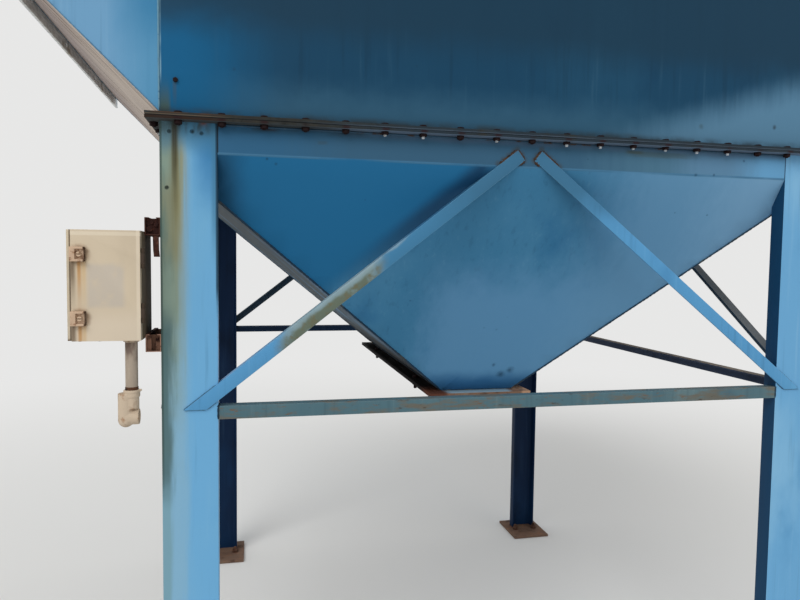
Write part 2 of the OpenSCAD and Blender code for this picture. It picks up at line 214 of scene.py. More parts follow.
def shifted(x, y, z):
    return Matrix.Translation((x, y, z))


def stack(work, rings, place, sides=6, turn=0.0):
    """Adds a turned or hexagonal solid: (radius, height) rings along Z, closed at both ends."""
    loops = []
    for radius, height in rings:
        loop = []
        for n in range(sides):
            a = turn + 2 * math.pi * n / sides
            point = Vector((radius * math.cos(a), radius * math.sin(a), height))
            loop.append(work.verts.new(place @ point))
        loops.append(loop)
    for low, high in zip(loops, loops[1:]):
        for n in range(sides):
            m = (n + 1) % sides
            work.faces.new((low[n], low[m], high[m], high[n]))
    work.faces.new(list(reversed(loops[0])))
    work.faces.new(loops[-1])


def nut(work, place, across, height, turn):
    """A hexagon nut with chamfered corners, on the plane of place, pointing up its Z."""
    r = across / 2 / math.cos(math.pi / 6)
    stack(work, [(r * 0.93, 0), (r, height * 0.12), (r, height * 0.86), (r * 0.9, height)], place, 6, turn)


def washer(work, place, radius, height):
    """A plain washer with its rims worn round."""
    worn = radius * 0.97
    stack(work, [(worn, 0), (radius, height * 0.3), (radius, height * 0.7), (worn, height)], place, 20)


def stud(work, place, radius, length, pitch):
    """A threaded end with a chamfered tip."""
    turns = int(length / pitch)
    rings = []
    for n in range(turns):
        rings += [(radius * 0.88, n * pitch), (radius, (n + 0.5) * pitch)]
    rings += [(radius * 0.88, turns * pitch), (radius * 0.75, turns * pitch + pitch * 0.6)]
    stack(work, rings, place, 14)


rusty_plate = Finish("rusty plate", (112, 92, 78), 0.85)
rust_over(rusty_plate, patches(0.3, 0.6, 0.08, 5.0), 1.6, (112, 88, 74), (140, 100, 72), (70, 52, 44))
rusty_plate.coat((150, 132, 112), patches(0.6, 0.75, 0.11, 4.0, shift=5), rough=0.95)

rusty_anchor = Finish("rusty anchor", (96, 72, 60), 0.7, 0.3)
rust_over(rusty_anchor, patches(0.35, 0.6, 0.02, 4.0), 0.5)

corners = [("front", "left"), ("front", "right"), ("back", "left"), ("back", "right")]
ANCHOR_ACROSS = 24 * MM
ANCHOR_X, ANCHOR_Y, ANCHOR_APART = 0.8365, 0.910, 0.055
for side, hand in corners:
    node = f"base_plate_{side}_{hand}"
    work = from_frame(node)
    low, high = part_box(node)
    round_edges(work, 1.2 * MM)
    show(finished(work), f"plate_{side}_{hand}", rusty_plate, node, slot="rusty_steel")
    sx = -1 if hand == "left" else 1
    sy = -1 if side == "front" else 1
    bolts = bmesh.new()
    for dx in (-ANCHOR_APART, ANCHOR_APART):
        at = shifted(sx * ANCHOR_X + dx, sy * ANCHOR_Y, 0)
        washer(bolts, at @ shifted(0, 0, high.z), 15 * MM, 2.5 * MM)
        nut(bolts, at @ shifted(0, 0, high.z + 2.5 * MM), ANCHOR_ACROSS, 13 * MM, dx * 40 + sx)
        stack(bolts, [(7 * MM, 1 * MM), (7 * MM, high.z + 3 * MM)], at, 12)
        stud(bolts, at @ shifted(0, 0, high.z + 15 * MM), 8 * MM, 13 * MM, 2 * MM)
    show(finished(bolts, 40), f"anchors_{side}_{hand}", rusty_anchor)

# Legs: four lengths of 5 inch rolled steel channel, stood on the plates with their webs outward and
# welded there. The front two are painted pale and the back two deep blue: painted light and painted
# shade over one blue paint.
HALF_WIDE, HALF_DEEP = 0.9, 0.975
CHANNEL_W, CHANNEL_D = 127 * MM, 44.5 * MM
WEB_T = 4.8 * MM
FLANGE_TIP = 6.4 * MM
FLANGE_ROOT = 10.4 * MM


def turned_by(degrees, letter):
    return Matrix.Rotation(math.radians(degrees), 4, letter)


def rounded(corners, steps=4):
    """An outline from (x, y, radius) corners, each turned into a short arc."""
    outline = []
    for n, (x, y, radius) in enumerate(corners):
        here = Vector((x, y))
        back = (Vector(corners[n - 1][:2]) - here).normalized()
        ahead = (Vector(corners[(n + 1) % len(corners)][:2]) - here).normalized()
        if radius == 0:
            outline.append(here)
            continue
        half = back.angle(ahead) / 2
        start = here + back * radius / math.tan(half)
        end = here + ahead * radius / math.tan(half)
        centre = here + (back + ahead).normalized() * radius / math.sin(half)
        for k in range(steps + 1):
            spoke = start.lerp(end, k / steps) - centre
            outline.append(centre + spoke.normalized() * radius)
    return outline


def loft(work, loops, closed_ends=True):
    """Skins a solid over a row of loops that have as many points each."""
    made = [[work.verts.new(p) for p in loop] for loop in loops]
    for low, high in zip(made, made[1:]):
        for n in range(len(low)):
            m = (n + 1) % len(low)
            work.faces.new((low[n], low[m], high[m], high[n]))
    if closed_ends:
        work.faces.new(list(reversed(made[0])))
        work.faces.new(made[-1])


def bar(work, outline, place, lengths):
    """Runs an outline along the Z of place, with a loop at each of the lengths."""
    loft(work, [[place @ Vector((p.x, p.y, z)) for p in outline] for z in lengths])


def drilled(mesh, holes):
    """Takes round holes out of a mesh: (place, radius, depth) for each."""
    tools = bmesh.new()
    for place, radius, depth in holes:
        stack(tools, [(radius, 0), (radius, depth)], place, 20)
    cutter = bpy.data.objects.new("cutter", finished(tools))
    body = bpy.data.objects.new("drilled", mesh)
    for thing in (cutter, body):
        bpy.context.scene.collection.objects.link(thing)
    cut = body.modifiers.new("holes", "BOOLEAN")
    cut.operation = "DIFFERENCE"
    cut.solver = "EXACT"
    cut.object = cutter
    result = bpy.data.meshes.new_from_object(body.evaluated_get(bpy.context.evaluated_depsgraph_get()))
    for thing in (cutter, body):
        bpy.data.objects.remove(thing)
    result.shade_smooth()
    result.set_sharp_from_angle(angle=math.radians(30))
    return result


def axis(letter, wander=0.0, shift=0.0):
    """The height along an axis, made uneven by up to half of wander."""
    def straight(finish):
        return finish.add("SeparateXYZ", {0: point_on_part}, letter)

    if not wander:
        return straight
    stretch = (1, 1, 1) if letter == "Z" else (0.4, 0.4, 3)
    wave = reckon("SUBTRACT", cloud(0.06, 3.0, stretch, shift + 2.7), 0.5)
    return reckon("ADD", straight, reckon("MULTIPLY", wave, wander))


def ramp(letter, start, end, wander=0.0):
    """0 to 1 between two heights along an axis."""
    return fade(axis(letter, wander), start, end)


def strip(letter, centre, half, soft, wander=0.0):
    """1 within half of centre along an axis, fading out over soft more."""
    off = reckon("SUBTRACT", axis(letter, wander, centre * 31), centre)
    return fade(reckon("ABSOLUTE", off), half + soft, half)


def spots(size, share, radius, shift=0.0):
    """Small ragged marks, one to a cell of size metres, of which only a share shows."""
    def cells(output):
        look = {"Vector": mapped(size, (1, 1, 1), shift), "Scale": 1.0}
        return lambda finish: finish.add("TexVoronoi", look, output)

    def pick(finish):
        return finish.add("SeparateColor", {0: cells("Color")})

    ragged = reckon("MULTIPLY", cloud(radius * 1.5, 3.0, shift=shift), radius / size * 1.4)
    off = reckon("ADD", cells("Distance"), ragged)
    return times(reckon("LESS_THAN", pick, share), fade(off, radius / size * 1.7, radius / size * 1.1))


def face_normal(finish):
    """Which way the surface faces."""
    return finish.add("NewGeometry", {}, "Normal")


def vector(operation, a, b):
    """Arithmetic on two points or directions that comes to one value."""
    return lambda finish: finish.add("VectorMath", {0: a, 1: b}, "Value", operation=operation)


def edges(reach):
    """1 along sharp edges and 0 on open faces."""
    def softened(finish):
        return finish.add("Bevel", {"Radius": reach}, samples=3)

    return fade(vector("DOT_PRODUCT", softened, face_normal), 0.985, 0.82)


def facing(direction):
    """How squarely a face looks along a direction, 0 to 1."""
    return fade(vector("DOT_PRODUCT", face_normal, direction), 0.3, 0.8)


def near(point, radius, soft):
    """1 within radius of a point, fading out over soft more, with a ragged edge."""
    ragged = reckon("MULTIPLY", cloud(0.012, 3.0, shift=point[0] * 17), soft)
    return fade(reckon("ADD", vector("DISTANCE", point_on_part, point), ragged), radius + soft * 1.5, radius)


def drip(x, width, top, bottom, wander=0.0):
    """A run that starts at height top under x, soft at its sides, and thins out towards bottom."""
    grain = patches(0.1, 0.6, 0.007, 4.0, (1, 1, 26), x * 13)
    return times(strip("X", x, 0.0, width, wander), fade(axis("Z", 0.05, x), bottom, top), grain)


def blue_paint(name, main, faded, deep, roughness=0.5, seed=0.0, chips=0.5):
    """Shop paint on steel: patches where it has faded or kept its colour, rain marks, specks and chips."""
    skin = Finish(name, main, roughness)
    skin.coat(faded, patches(0.48, 0.72, 0.35, 5.0, (1, 1, 2.2), seed), 0.9, rough=roughness + 0.12)
    skin.coat(deep, patches(0.54, 0.78, 0.16, 5.0, (1, 1, 1.6), seed + 4.0), 0.8)
    runs = cloud(0.016, 4.0, (1, 1, 24), seed + 9.0)
    skin.coat([c + (255 - c) * 0.14 for c in faded], fade(runs, 0.56, 0.8), 0.25)
    skin.coat([c * 0.72 for c in deep], fade(runs, 0.46, 0.26), 0.25)
    skin.coat((34, 42, 48), spots(0.13, 0.16, 2.6 * MM, seed), 0.7)
    chipped = patches(0.66 - 0.2 * chips, 0.72, 0.012, 5.0, shift=seed + 2)
    skin.coat((78, 60, 52), edges(3 * MM), chipped, rough=0.85, height=-0.08)
    skin.raise_by(cloud(0.003, 2.0, shift=seed), 0.05)
    skin.raise_by(cloud(0.03, 3.0, shift=seed), 0.25)
    return skin


channel = rounded([
    (0, 0, 1.5 * MM), (CHANNEL_W, 0, 1.5 * MM), (CHANNEL_W, CHANNEL_D, 1.0 * MM),
    (CHANNEL_W - FLANGE_TIP, CHANNEL_D, 3.5 * MM), (CHANNEL_W - FLANGE_ROOT, WEB_T, 7 * MM),
    (FLANGE_ROOT, WEB_T, 7 * MM), (FLANGE_TIP, CHANNEL_D, 3.5 * MM), (0, CHANNEL_D, 1.0 * MM)])
LEG_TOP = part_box("leg_front_left")[1].z
RUN_X = -0.867
# spare holes in the front left leg: across from its outer edge, and down from its top
spare_holes = [(-HALF_WIDE + across * MM, LEG_TOP - down * MM)
               for across, down in ((21.5, 23), (71.5, 21), (92.5, 24), (15.5, 150))]

left_leg = blue_paint("front leg paint", (108, 169, 211), (118, 174, 206), (92, 158, 206), 0.42, 1.0)
# painted shade: deeper blue towards the top on the right of the leg, under the joint
left_leg.coat((66, 130, 178), ramp("Z", 1.6, 1.8, 0.08), ramp("X", -0.85, -0.79))
streaks = cloud(0.01, 5.0, (1, 1, 30), 6.0)
left_of = reckon("ADD", axis("X", 0.03), reckon("MULTIPLY", streaks, 0.02))
weathered = ramp("Z", 1.02, 1.45, 0.3)
left_leg.coat((132, 174, 198), fade(left_of, -0.815, -0.85), 0.8, rough=0.6)
left_leg.coat((116, 154, 166), fade(left_of, -0.858, -0.878), 0.8, rough=0.7)
left_leg.coat((130, 148, 132), fade(left_of, -0.826, -0.862), weathered, 0.92, rough=0.7)
left_leg.coat(
    (76, 102, 106), fade(left_of, -0.856, -0.876), strip("Z", 1.2, 0.16, 0.1, 0.05), 0.85, rough=0.8)
left_leg.coat(
    (126, 122, 92), fade(left_of, -0.836, -0.858), strip("Z", 1.63, 0.05, 0.08, 0.04), 0.6, rough=0.75)
# painted shade: darker under the joint across the top, greyer on the left
left_leg.coat((66, 118, 148), ramp("Z", 1.765, 1.835, 0.03), 0.85)
left_leg.coat((92, 120, 126), ramp("Z", 1.765, 1.835, 0.03), fade(left_of, -0.845, -0.874), 0.6, rough=0.7)
left_leg.coat(
    (84, 114, 112), patches(0.47, 0.66, 0.05, 6.0, (1, 1, 7), 12.0), fade(left_of, -0.852, -0.876),
    weathered, 0.85, rough=0.8)
left_leg.coat(
    (146, 142, 104), drip(-0.858, 0.028, 1.76, 1.3, 0.012), ramp("Z", 1.83, 1.76, 0.03), 0.85, rough=0.75)
left_leg.coat((82, 78, 50), drip(RUN_X, 0.017, LEG_TOP + 0.12, 1.44, 0.006), rough=0.8)
left_leg.coat((42, 35, 24), drip(RUN_X, 0.01, LEG_TOP + 0.05, 1.6, 0.004), 0.95, rough=0.85)
under_lip = ramp("Z", LEG_TOP - 0.04, LEG_TOP - 0.002, 0.012)
left_leg.coat((60, 72, 74), under_lip, patches(0.3, 0.62, 0.018, 5.0, (1, 1, 4)), 0.85, rough=0.8)
left_leg.coat((118, 66, 38), near((-0.802, -HALF_DEEP, LEG_TOP), 2 * MM, 12 * MM), rough=0.9)
# painted shade in the bottoms of the spare holes
for x, z in spare_holes:
    left_leg.coat((46, 56, 56), near((x, -HALF_DEEP, z), 3.6 * MM, 2.5 * MM), rough=0.9)
# painted highlight: paler edges on the lower part of the leg
left_leg.coat((150, 176, 184), edges(2.5 * MM), ramp("Z", 1.45, 1.3), 0.3)
left_leg.coat((62, 80, 76), ramp("X", -0.8935, -0.8965, 0.002), ramp("Z", 0.95, 1.1, 0.05), 0.75, rough=0.8)
# painted shade along the right edge by the hopper, darkest right at the edge
left_leg.coat((66, 120, 152), ramp("X", -0.792, -0.78), ramp("Z", 1.5, 1.65, 0.05), 0.6)
left_leg.coat((34, 56, 72), ramp("X", -0.7785, -0.7755), ramp("Z", 1.4, 1.48, 0.05), 0.85, rough=0.8)
right_leg = blue_paint("right leg paint", (104, 163, 205), (132, 182, 214), (86, 146, 190), 0.42, 17.0)
# painted shade on the faces that look to the left
right_leg.coat((22, 62, 94), fade(facing((-1, 0, 0)), 0.2, 0.8))


def pale_outside(skin, colour):
    """Gives the faces on the far side and the two flanks of the frame a clearer blue, over a base of painted
    shade.
    """
    skin.coat(colour, fade(facing((0, 1, 0)), 0.5, 0.8), 0.85)
    for flank in (-1, 1):
        outermost = ramp("X", flank * (HALF_WIDE - 0.01), flank * (HALF_WIDE - 0.006))
        skin.coat(colour, fade(facing((flank, 0, 0)), 0.5, 0.8), outermost, 0.85)


# the back legs' deep blue is painted shade; their outside faces get the clearer blue
back_leg = blue_paint("back leg paint", (8, 33, 62), (15, 47, 80), (5, 22, 44), 0.5, 31.0)
pale_outside(back_leg, (66, 122, 166))

for side, hand in corners:
    node = f"leg_{side}_{hand}"
    low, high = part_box(node)
    sx = -1 if hand == "left" else 1
    sy = -1 if side == "front" else 1
    work = bmesh.new()
    place = Matrix.Diagonal((-sx, -sy, 1, 1))
    place.translation = (sx * HALF_WIDE, sy * HALF_DEEP, 0)
    bar(work, channel, place, [low.z, low.z + 0.4, low.z + 1.0, high.z])
    mesh = finished(work)
    if node == "leg_front_left":
        # shallow, so that they end in the web as plugged holes do
        face_on = turned_by(-90, "X")
        mesh = drilled(mesh, [(shifted(x, -HALF_DEEP - 10 * MM, z) @ face_on, 4.3 * MM, 13.4 * MM)
                              for x, z in spare_holes])
    skin = back_leg if side == "back" else left_leg if hand == "left" else right_leg
    show(mesh, f"channel_{side}_{hand}", skin, node, slot="frame_paint")


# Welds at the feet: fillet beads laid by hand, with a ripple every few millimetres. Their paint
# has come off and they rust with the plates.
def bead(work, path, radius, step=5 * MM, seed=0):
    """Adds a rippled weld bead along a path of points."""
    rng = random.Random(seed)
    points = []
    for a, b in zip(path, path[1:]):
        a, b = Vector(a), Vector(b)
        count = max(1, int((b - a).length / step))
        points += [a.lerp(b, k / count) for k in range(count)]
    points.append(Vector(path[-1]))
    loops = []
    for n, p in enumerate(points):
        along = (points[min(n + 1, len(points) - 1)] - points[max(n - 1, 0)]).normalized()
        side = along.cross(Vector((0.13, 0.21, 0.97)))
        if side.length < 0.3:
            side = along.cross(Vector((1, 0, 0)))
        side.normalize()
        up = side.cross(along)
        r = radius * (0.86 if n % 2 else 1.06) * rng.uniform(0.86, 1.1)
        if n in (0, len(points) - 1):
            r = radius * 0.35
        loops.append([p + (side * math.cos(math.pi * k / 3) + up * math.sin(math.pi * k / 3)) * r
                      for k in range(6)])
    loft(work, loops)


rusty_weld = Finish("rusty weld", (92, 64, 48), 0.9)
rust_over(rusty_weld, patches(0.2, 0.4, 0.03, 4.0), 0.5, (88, 60, 44), (140, 90, 54), (46, 36, 32))
grimy_weld = blue_paint("grimy weld", (30, 50, 64), (48, 72, 88), (22, 34, 44), 0.7, 3.0)

PLATE_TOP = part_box("base_plate_front_left")[1].z
foot_welds = bmesh.new()
for sx in (-1, 1):
    for sy in (-1, 1):
        z = PLATE_TOP + 1 * MM
        out, into = sx * HALF_WIDE, sx * (HALF_WIDE - CHANNEL_W)
        near_y, far_y = sy * HALF_DEEP, sy * (HALF_DEEP - CHANNEL_D)
        bead(foot_welds, [(out, far_y, z), (out, near_y, z), (into, near_y, z), (into, far_y, z)], 3.5 * MM,
             seed=sx * 3 + sy)
show(finished(foot_welds, 60), "foot_welds", rusty_weld)

# Ties: rolled angle bars between the legs, level on top, set just above the hopper's outlet. The
# front one has lost most of its blue to grime and rust.
TIE_LOW, TIE_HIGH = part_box("tie_front")
ANGLE = TIE_HIGH.z - TIE_LOW.z
ANGLE_T = 5 * MM
angle = rounded([
    (0, 0, 0.8 * MM), (0, -ANGLE, 0.6 * MM), (ANGLE_T, -ANGLE, 2.6 * MM), (ANGLE_T, -ANGLE_T, 5 * MM),
    (ANGLE, -ANGLE_T, 2.6 * MM), (ANGLE, 0, 0.6 * MM)])
front_tie = blue_paint("tie paint", (78, 108, 118), (98, 120, 124), (60, 88, 102), 0.65, 8.0, 1.0)
front_tie.coat((104, 98, 86), patches(0.46, 0.6, 0.045, 8.0, (3.4, 1, 0.7), 3.0, 0.7), 0.85, rough=0.85)
front_tie.coat((112, 88, 66), patches(0.58, 0.66, 0.016, 6.0, (3, 1, 0.8), 13.0, 0.7), 0.8, rough=0.9)
front_tie.coat((60, 48, 42), patches(0.6, 0.68, 0.014, 6.0, (3, 1, 1), 5.0, 0.7), 0.7)
front_tie.coat((150, 160, 160), edges(2.5 * MM), 0.4)
# the side and back ties are dark with painted shade and clearer blue on their outside faces; the side ties'
# pale tops are partly dust, partly painted light
side_tie = blue_paint("side tie paint", (44, 56, 78), (62, 72, 90), (30, 40, 60), 0.6, 28.0)
side_tie.coat((150, 136, 120), facing((0, 0, 1)), patches(0.3, 0.5, 0.05, 5.0), 0.85, rough=0.9)
pale_outside(side_tie, (70, 104, 130))
back_tie = blue_paint("back tie paint", (18, 40, 66), (34, 58, 84), (12, 28, 48), 0.55, 22.0)
pale_outside(back_tie, (70, 104, 130))
TIE_TOP = TIE_HIGH.z
spans = {"front": (HALF_WIDE - CHANNEL_W, HALF_DEEP, 0), "right": (HALF_DEEP - CHANNEL_D, HALF_WIDE, 90),
         "back": (HALF_WIDE - CHANNEL_W, HALF_DEEP, 180), "left": (HALF_DEEP - CHANNEL_D, HALF_WIDE, 270)}
tie_skins = {"front": front_tie, "back": back_tie, "left": side_tie, "right": side_tie}
tie_welds = bmesh.new()
for side, (reach, face, turn) in spans.items():
    # the profile's x points inwards from the face and its y is up, and it runs along the side
    turned = turned_by(turn, "Z")
    place = turned @ Matrix(((0, 0, 1, -reach), (1, 0, 0, -face), (0, 1, 0, TIE_TOP), (0, 0, 0, 1)))
    work = bmesh.new()
    bar(work, angle, place, [0, reach, 2 * reach])
    show(finished(work), f"angle_tie_{side}", tie_skins[side], f"tie_{side}", slot="frame_paint")
    for end in (-reach, reach):
        bead(tie_welds, [turned @ Vector(p) for p in ((end, -face, TIE_TOP - ANGLE), (end, -face, TIE_TOP),
                                                      (end, ANGLE - face, TIE_TOP))], 2.6 * MM, seed=turn)
show(finished(tie_welds, 60), "tie_welds", grimy_weld)

# Braces: the same angle, two to a side in a chevron. Each is welded by its tip to the upright band of
# the hopper, and by its foot across the leg and the tie. Rust has started at the tips.
outward = {"front": (0, -1, 0), "back": (0, 1, 0), "left": (-1, 0, 0), "right": (1, 0, 0)}


def eased(node, radius, sharp=30.0, steps=2):
    """A frame piece's own shape with its sharp edges broken."""
    work = from_frame(node)
    round_edges(work, radius, sharp, steps)
    return finished(work)


def outline_welds(work, node, facing, keep, radius, seed):
    """Lays beads round the outermost flat face of a frame piece, wherever keep(point) holds."""
    solid = from_frame(node)
    look = Vector(facing)
    flat = [f for f in solid.faces if f.normal.dot(look) > 0.99]
    face = max(flat, key=lambda f: (round(f.calc_center_median().dot(look), 4), f.calc_area()))
    ring = [v.co.copy() for v in face.verts]
    solid.free()
    sink = look * ANGLE_T
    for a, b in zip(ring, ring[1:] + ring[:1]):
        count = max(2, int((b - a).length / (4 * MM)))
        run = []
        for k in range(count + 1):
            p = a.lerp(b, k / count)
            if keep(p):
                run.append(p - sink)
            if run and (k == count or not keep(p)):
                if len(run) > 2:
                    bead(work, [run[0], run[-1]], radius, 4 * MM, seed + k)
                run = []


front_brace = blue_paint("brace paint", (86, 150, 196), (104, 166, 206), (70, 130, 176), 0.45, 5.0)
# painted shade: deeper blue higher up the braces, most on the left one
front_brace.coat((66, 124, 162), ramp("Z", 1.46, 1.54, 0.06), ramp("X", 0.0, -0.1, 0.05))
front_brace.coat((60, 110, 142), ramp("Z", 1.6, 1.75, 0.06))
mould = strip("X", -0.505, 0.085, 0.06, 0.03)
across_bar = reckon("SUBTRACT", axis("Z", 0.03), reckon("MULTIPLY", axis("X"), 0.78))
lower_half = fade(across_bar, 1.846, 1.832)
front_brace.coat((134, 154, 156), mould, 0.9, rough=0.8)
front_brace.coat(
    (100, 110, 94), mould, lower_half, patches(0.25, 0.45, 0.05, 5.0, (1, 1, 1), 22.0), 0.95, rough=0.8)
front_brace.coat((108, 106, 84), mould, lower_half, patches(0.5, 0.62, 0.02, 5.0), 0.75, rough=0.85)
front_brace.coat(
    (52, 56, 48), mould, edges(4 * MM), lower_half, patches(0.4, 0.6, 0.02, 5.0, shift=8.0), 0.7,
    rough=0.85)
# painted highlight: a pale line along the upper edge of the left brace
front_brace.coat((150, 172, 180), strip("X", -0.48, 0.13, 0.06), fade(across_bar, 1.846, 1.854), 0.5)
tip = times(ramp("Z", 1.8, 1.828, 0.02), patches(0.42, 0.56, 0.015, 4.0, shift=1.0))
rust_over(front_brace, times(tip, edges(6 * MM), 0.7), 0.5, (96, 80, 64), (124, 88, 62), (60, 50, 44))
# painted highlight: paler edges
front_brace.coat((134, 182, 214), edges(2.5 * MM), 0.55)
side_brace = blue_paint("shaded brace paint", (40, 60, 76), (58, 80, 98), (28, 44, 58), 0.55, 12.0)
# painted light: grey-pale top faces
side_brace.coat((124, 126, 126), facing((0, 0, 1)), 0.8, rough=0.8)
pale_outside(side_brace, (74, 122, 158))
BEND_Z = 1.785
tip_welds, brace_foot_welds = bmesh.new(), bmesh.new()
for number, name in enumerate(("front_left", "front_right", "back_left", "back_right",
                               "left_front", "left_back", "right_front", "right_back")):
    side = name.split("_")[0]
    paint = front_brace if side == "front" else side_brace
    show(eased(f"brace_{name}", 0.9 * MM), f"angle_brace_{name}", paint, f"brace_{name}", slot="frame_paint")
    along = 0 if side in ("front", "back") else 1
    leg_from = HALF_DEEP - CHANNEL_D if along else HALF_WIDE - CHANNEL_W
    outline_welds(tip_welds, f"brace_{name}", outward[side],
                  lambda p: p.z > BEND_Z + 3 * MM, 5.4 * MM, number)
    outline_welds(brace_foot_welds, f"brace_{name}", outward[side],
                  lambda p: abs(p[along]) > leg_from + 3 * MM, 2.4 * MM, number + 20)
tip_weld = Finish("brace tip weld", (74, 62, 52), 0.9)
rust_over(tip_weld, patches(0.3, 0.5, 0.03, 4.0), 0.5, (70, 55, 46), (100, 70, 52), (38, 34, 34))
tip_weld.coat((58, 84, 102), patches(0.56, 0.64, 0.018, 4.0, shift=9.0), rough=0.6)
show(finished(tip_welds, 60), "brace_tip_welds", tip_weld)
foot_weld_paint = blue_paint(
    "brace foot weld paint", (66, 106, 132), (90, 132, 158), (44, 74, 94), 0.55, 3.5)
show(finished(brace_foot_welds, 60), "brace_foot_welds", foot_weld_paint)

# Outlet flange: a flat frame welded round the bottom of the hopper, drilled for a gate or chute. It is
# rusty, near black and lumpy on the left, and two of its bolts still hang in it.
outlet_steel = Finish("outlet steel", (124, 108, 94), 0.8)
rust_over(outlet_steel, patches(0.36, 0.52, 0.07, 5.0), 1.0, (118, 92, 76), (160, 118, 88), (70, 54, 46))
outlet_steel.coat(
    (150, 178, 190), facing((0, 0, 1)), strip("X", -0.005, 0.095, 0.02), ramp("Y", -0.59, -0.6), 0.85,
    rough=0.6)
outlet_steel.coat((172, 136, 110), ramp("X", 0.11, 0.13), patches(0.35, 0.6, 0.03))
# near black and lumpy towards the left end
near_black_left = times(ramp("X", -0.108, -0.125, 0.02), patches(0.2, 0.36, 0.04, 4.0))
outlet_steel.coat((24, 21, 20), near_black_left, rough=0.9, height=1.5)
red_end = times(ramp("Y", -0.5, -0.6, 0.04), ramp("X", -0.09, -0.12))
outlet_steel.coat((96, 58, 44), red_end, 0.8, rough=0.9)
show(eased("outlet_flange", 1.2 * MM), "outlet_frame", outlet_steel, "outlet_flange", slot="rusty_steel")

OUTLET_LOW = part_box("outlet_flange")[0].z
OUTLET_HOLE_X = 0.14
# dark red-brown rust, made darker still as painted shade
shaded_rusty_bolt = Finish("rusty bolts in painted shade", (34, 23, 24), 0.75, 0.1)
rust_over(shaded_rusty_bolt, patches(0.45, 0.65, 0.012, 4.0), 0.3, (40, 24, 25), (62, 38, 34), (24, 17, 18))
outlet_bolts = bmesh.new()
for y in (0.36, -0.36):
    hanging = shifted(-OUTLET_HOLE_X, y, OUTLET_LOW) @ turned_by(180, "X")
    washer(outlet_bolts, hanging, 14 * MM, 2.5 * MM)
    nut(outlet_bolts, hanging @ shifted(0, 0, 2.5 * MM), 19 * MM, 10 * MM, y)
    stud(outlet_bolts, hanging @ shifted(0, 0, 12 * MM), 6 * MM, 12 * MM, 2 * MM)
    stack(outlet_bolts, [(6 * MM, -10 * MM), (6 * MM, 3 * MM)], hanging, 12)
    nut(outlet_bolts, hanging @ shifted(0, 0, -20 * MM), 19 * MM, 8 * MM, y)
show(finished(outlet_bolts, 40), "outlet_bolts", shaded_rusty_bolt, slot="rusty_lip")

# Hopper: four bent steel plates, upright for a hand's breadth under the lip and then drawn in to the
# outlet. Welded at the hips, and a little dished between them where the heat pulled the sheet.
OUTLET_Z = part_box("outlet_flange")[1].z
OUTLET_HALF_X, OUTLET_HALF_Y = 0.115, 0.6
HOPPER_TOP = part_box("hopper_lip")[0].z


def cut_rows(work, axis, places):
    """Cuts extra rows of edges through a mesh, square to an axis."""
    normal = Vector((0, 0, 0))
    normal[axis] = 1
    for place in places:
        bmesh.ops.bisect_plane(work, geom=work.verts[:] + work.edges[:] + work.faces[:],
                               dist=0.00001, plane_co=normal * place, plane_no=normal)


def dish(work, depth, seed, room, outward):
    """Pushes a plate in and out by up to depth; room(point) is how far the nearest welded edge is."""
    for v in work.verts:
        share = min(1.0, max(0.0, room(v.co) / 0.16))
        share = share * share * (3 - 2 * share)
        wave = (noise.noise(v.co * 2.6 + Vector((seed, 0, 0))) * 0.7
                + noise.noise(v.co * 6.5 + Vector((seed, 3, 0))) * 0.3)
        v.co += outward * depth * (wave - 0.45) * share


hopper_front = blue_paint("hopper front paint", (60, 121, 159), (74, 132, 168), (46, 108, 150), 0.5, 40.0)
# painted light: paler low in the middle and towards the right
hopper_front.coat((90, 141, 180), ramp("Z", 1.58, 1.42, 0.12), ramp("X", -0.28, -0.12, 0.1), 0.9)
hopper_front.coat((98, 147, 183), ramp("X", 0.1, 0.42, 0.12), 0.9)
hopper_front.coat((118, 162, 196), ramp("X", 0.42, 0.74, 0.12), 0.85)
# painted shadow: deeper blue above the left brace
brace_shadow_side = reckon(
    "ADD", reckon("MULTIPLY", axis("X"), -0.65), reckon("MULTIPLY", axis("Z", 0.02), 0.76))
hopper_front.coat((32, 107, 153), fade(brace_shadow_side, 1.395, 1.46), ramp("X", 0.02, -0.06))
# painted shadow: a dark band along the upper edge of the left brace
above_bar = reckon("SUBTRACT", axis("Z", 0.01), reckon("MULTIPLY", axis("X"), 0.841))
hopper_front.coat(
    (20, 58, 92), fade(above_bar, 1.932, 1.88), fade(above_bar, 1.85, 1.858), ramp("X", -0.52, -0.22),
    ramp("X", -0.08, -0.13), 0.85)
# painted shade at the far left, by the leg
hopper_front.coat((24, 66, 96), ramp("X", -0.69, -0.775, 0.02), 0.8)
hopper_front.coat((44, 98, 144), ramp("Z", OUTLET_Z + 0.075, OUTLET_Z + 0.02, 0.03), 0.9)
# painted light and shade on the upright band: a greyer blue than the slope, deeper to the left, paler to the
# right
skirt = ramp("Z", BEND_Z - 1 * MM, BEND_Z + 4 * MM)
hopper_front.coat((54, 93, 120), skirt, rough=0.6)
hopper_front.coat((48, 96, 130), skirt, ramp("X", -0.42, -0.68, 0.2))
hopper_front.coat((72, 112, 136), skirt, ramp("X", 0.05, 0.4, 0.2))
hopper_front.coat((88, 128, 158), skirt, ramp("X", 0.36, 0.52, 0.1))
hopper_front.coat((98, 154, 194), skirt, ramp("X", 0.58, 0.72, 0.06))
# painted highlight along the bend, in patches
hopper_front.coat((68, 116, 148), strip("Z", BEND_Z, 1.5 * MM, 2.5 * MM), patches(0.3, 0.6, 0.2), 0.9)
# under the lip: lighter to the right, painted light against the lip's own shadow; patchy painted shade to
# the left
shade = ramp("Z", HOPPER_TOP - 22 * MM, HOPPER_TOP - 2 * MM, 0.01)
hopper_front.coat((80, 104, 128), shade, ramp("X", -0.55, -0.3, 0.1), 0.85)
hopper_front.coat(
    (48, 64, 74), shade, patches(0.36, 0.62, 0.09, 5.0, (1, 1, 0.4), 3.0), ramp("X", -0.2, -0.55, 0.1),
    0.85, rough=0.8)
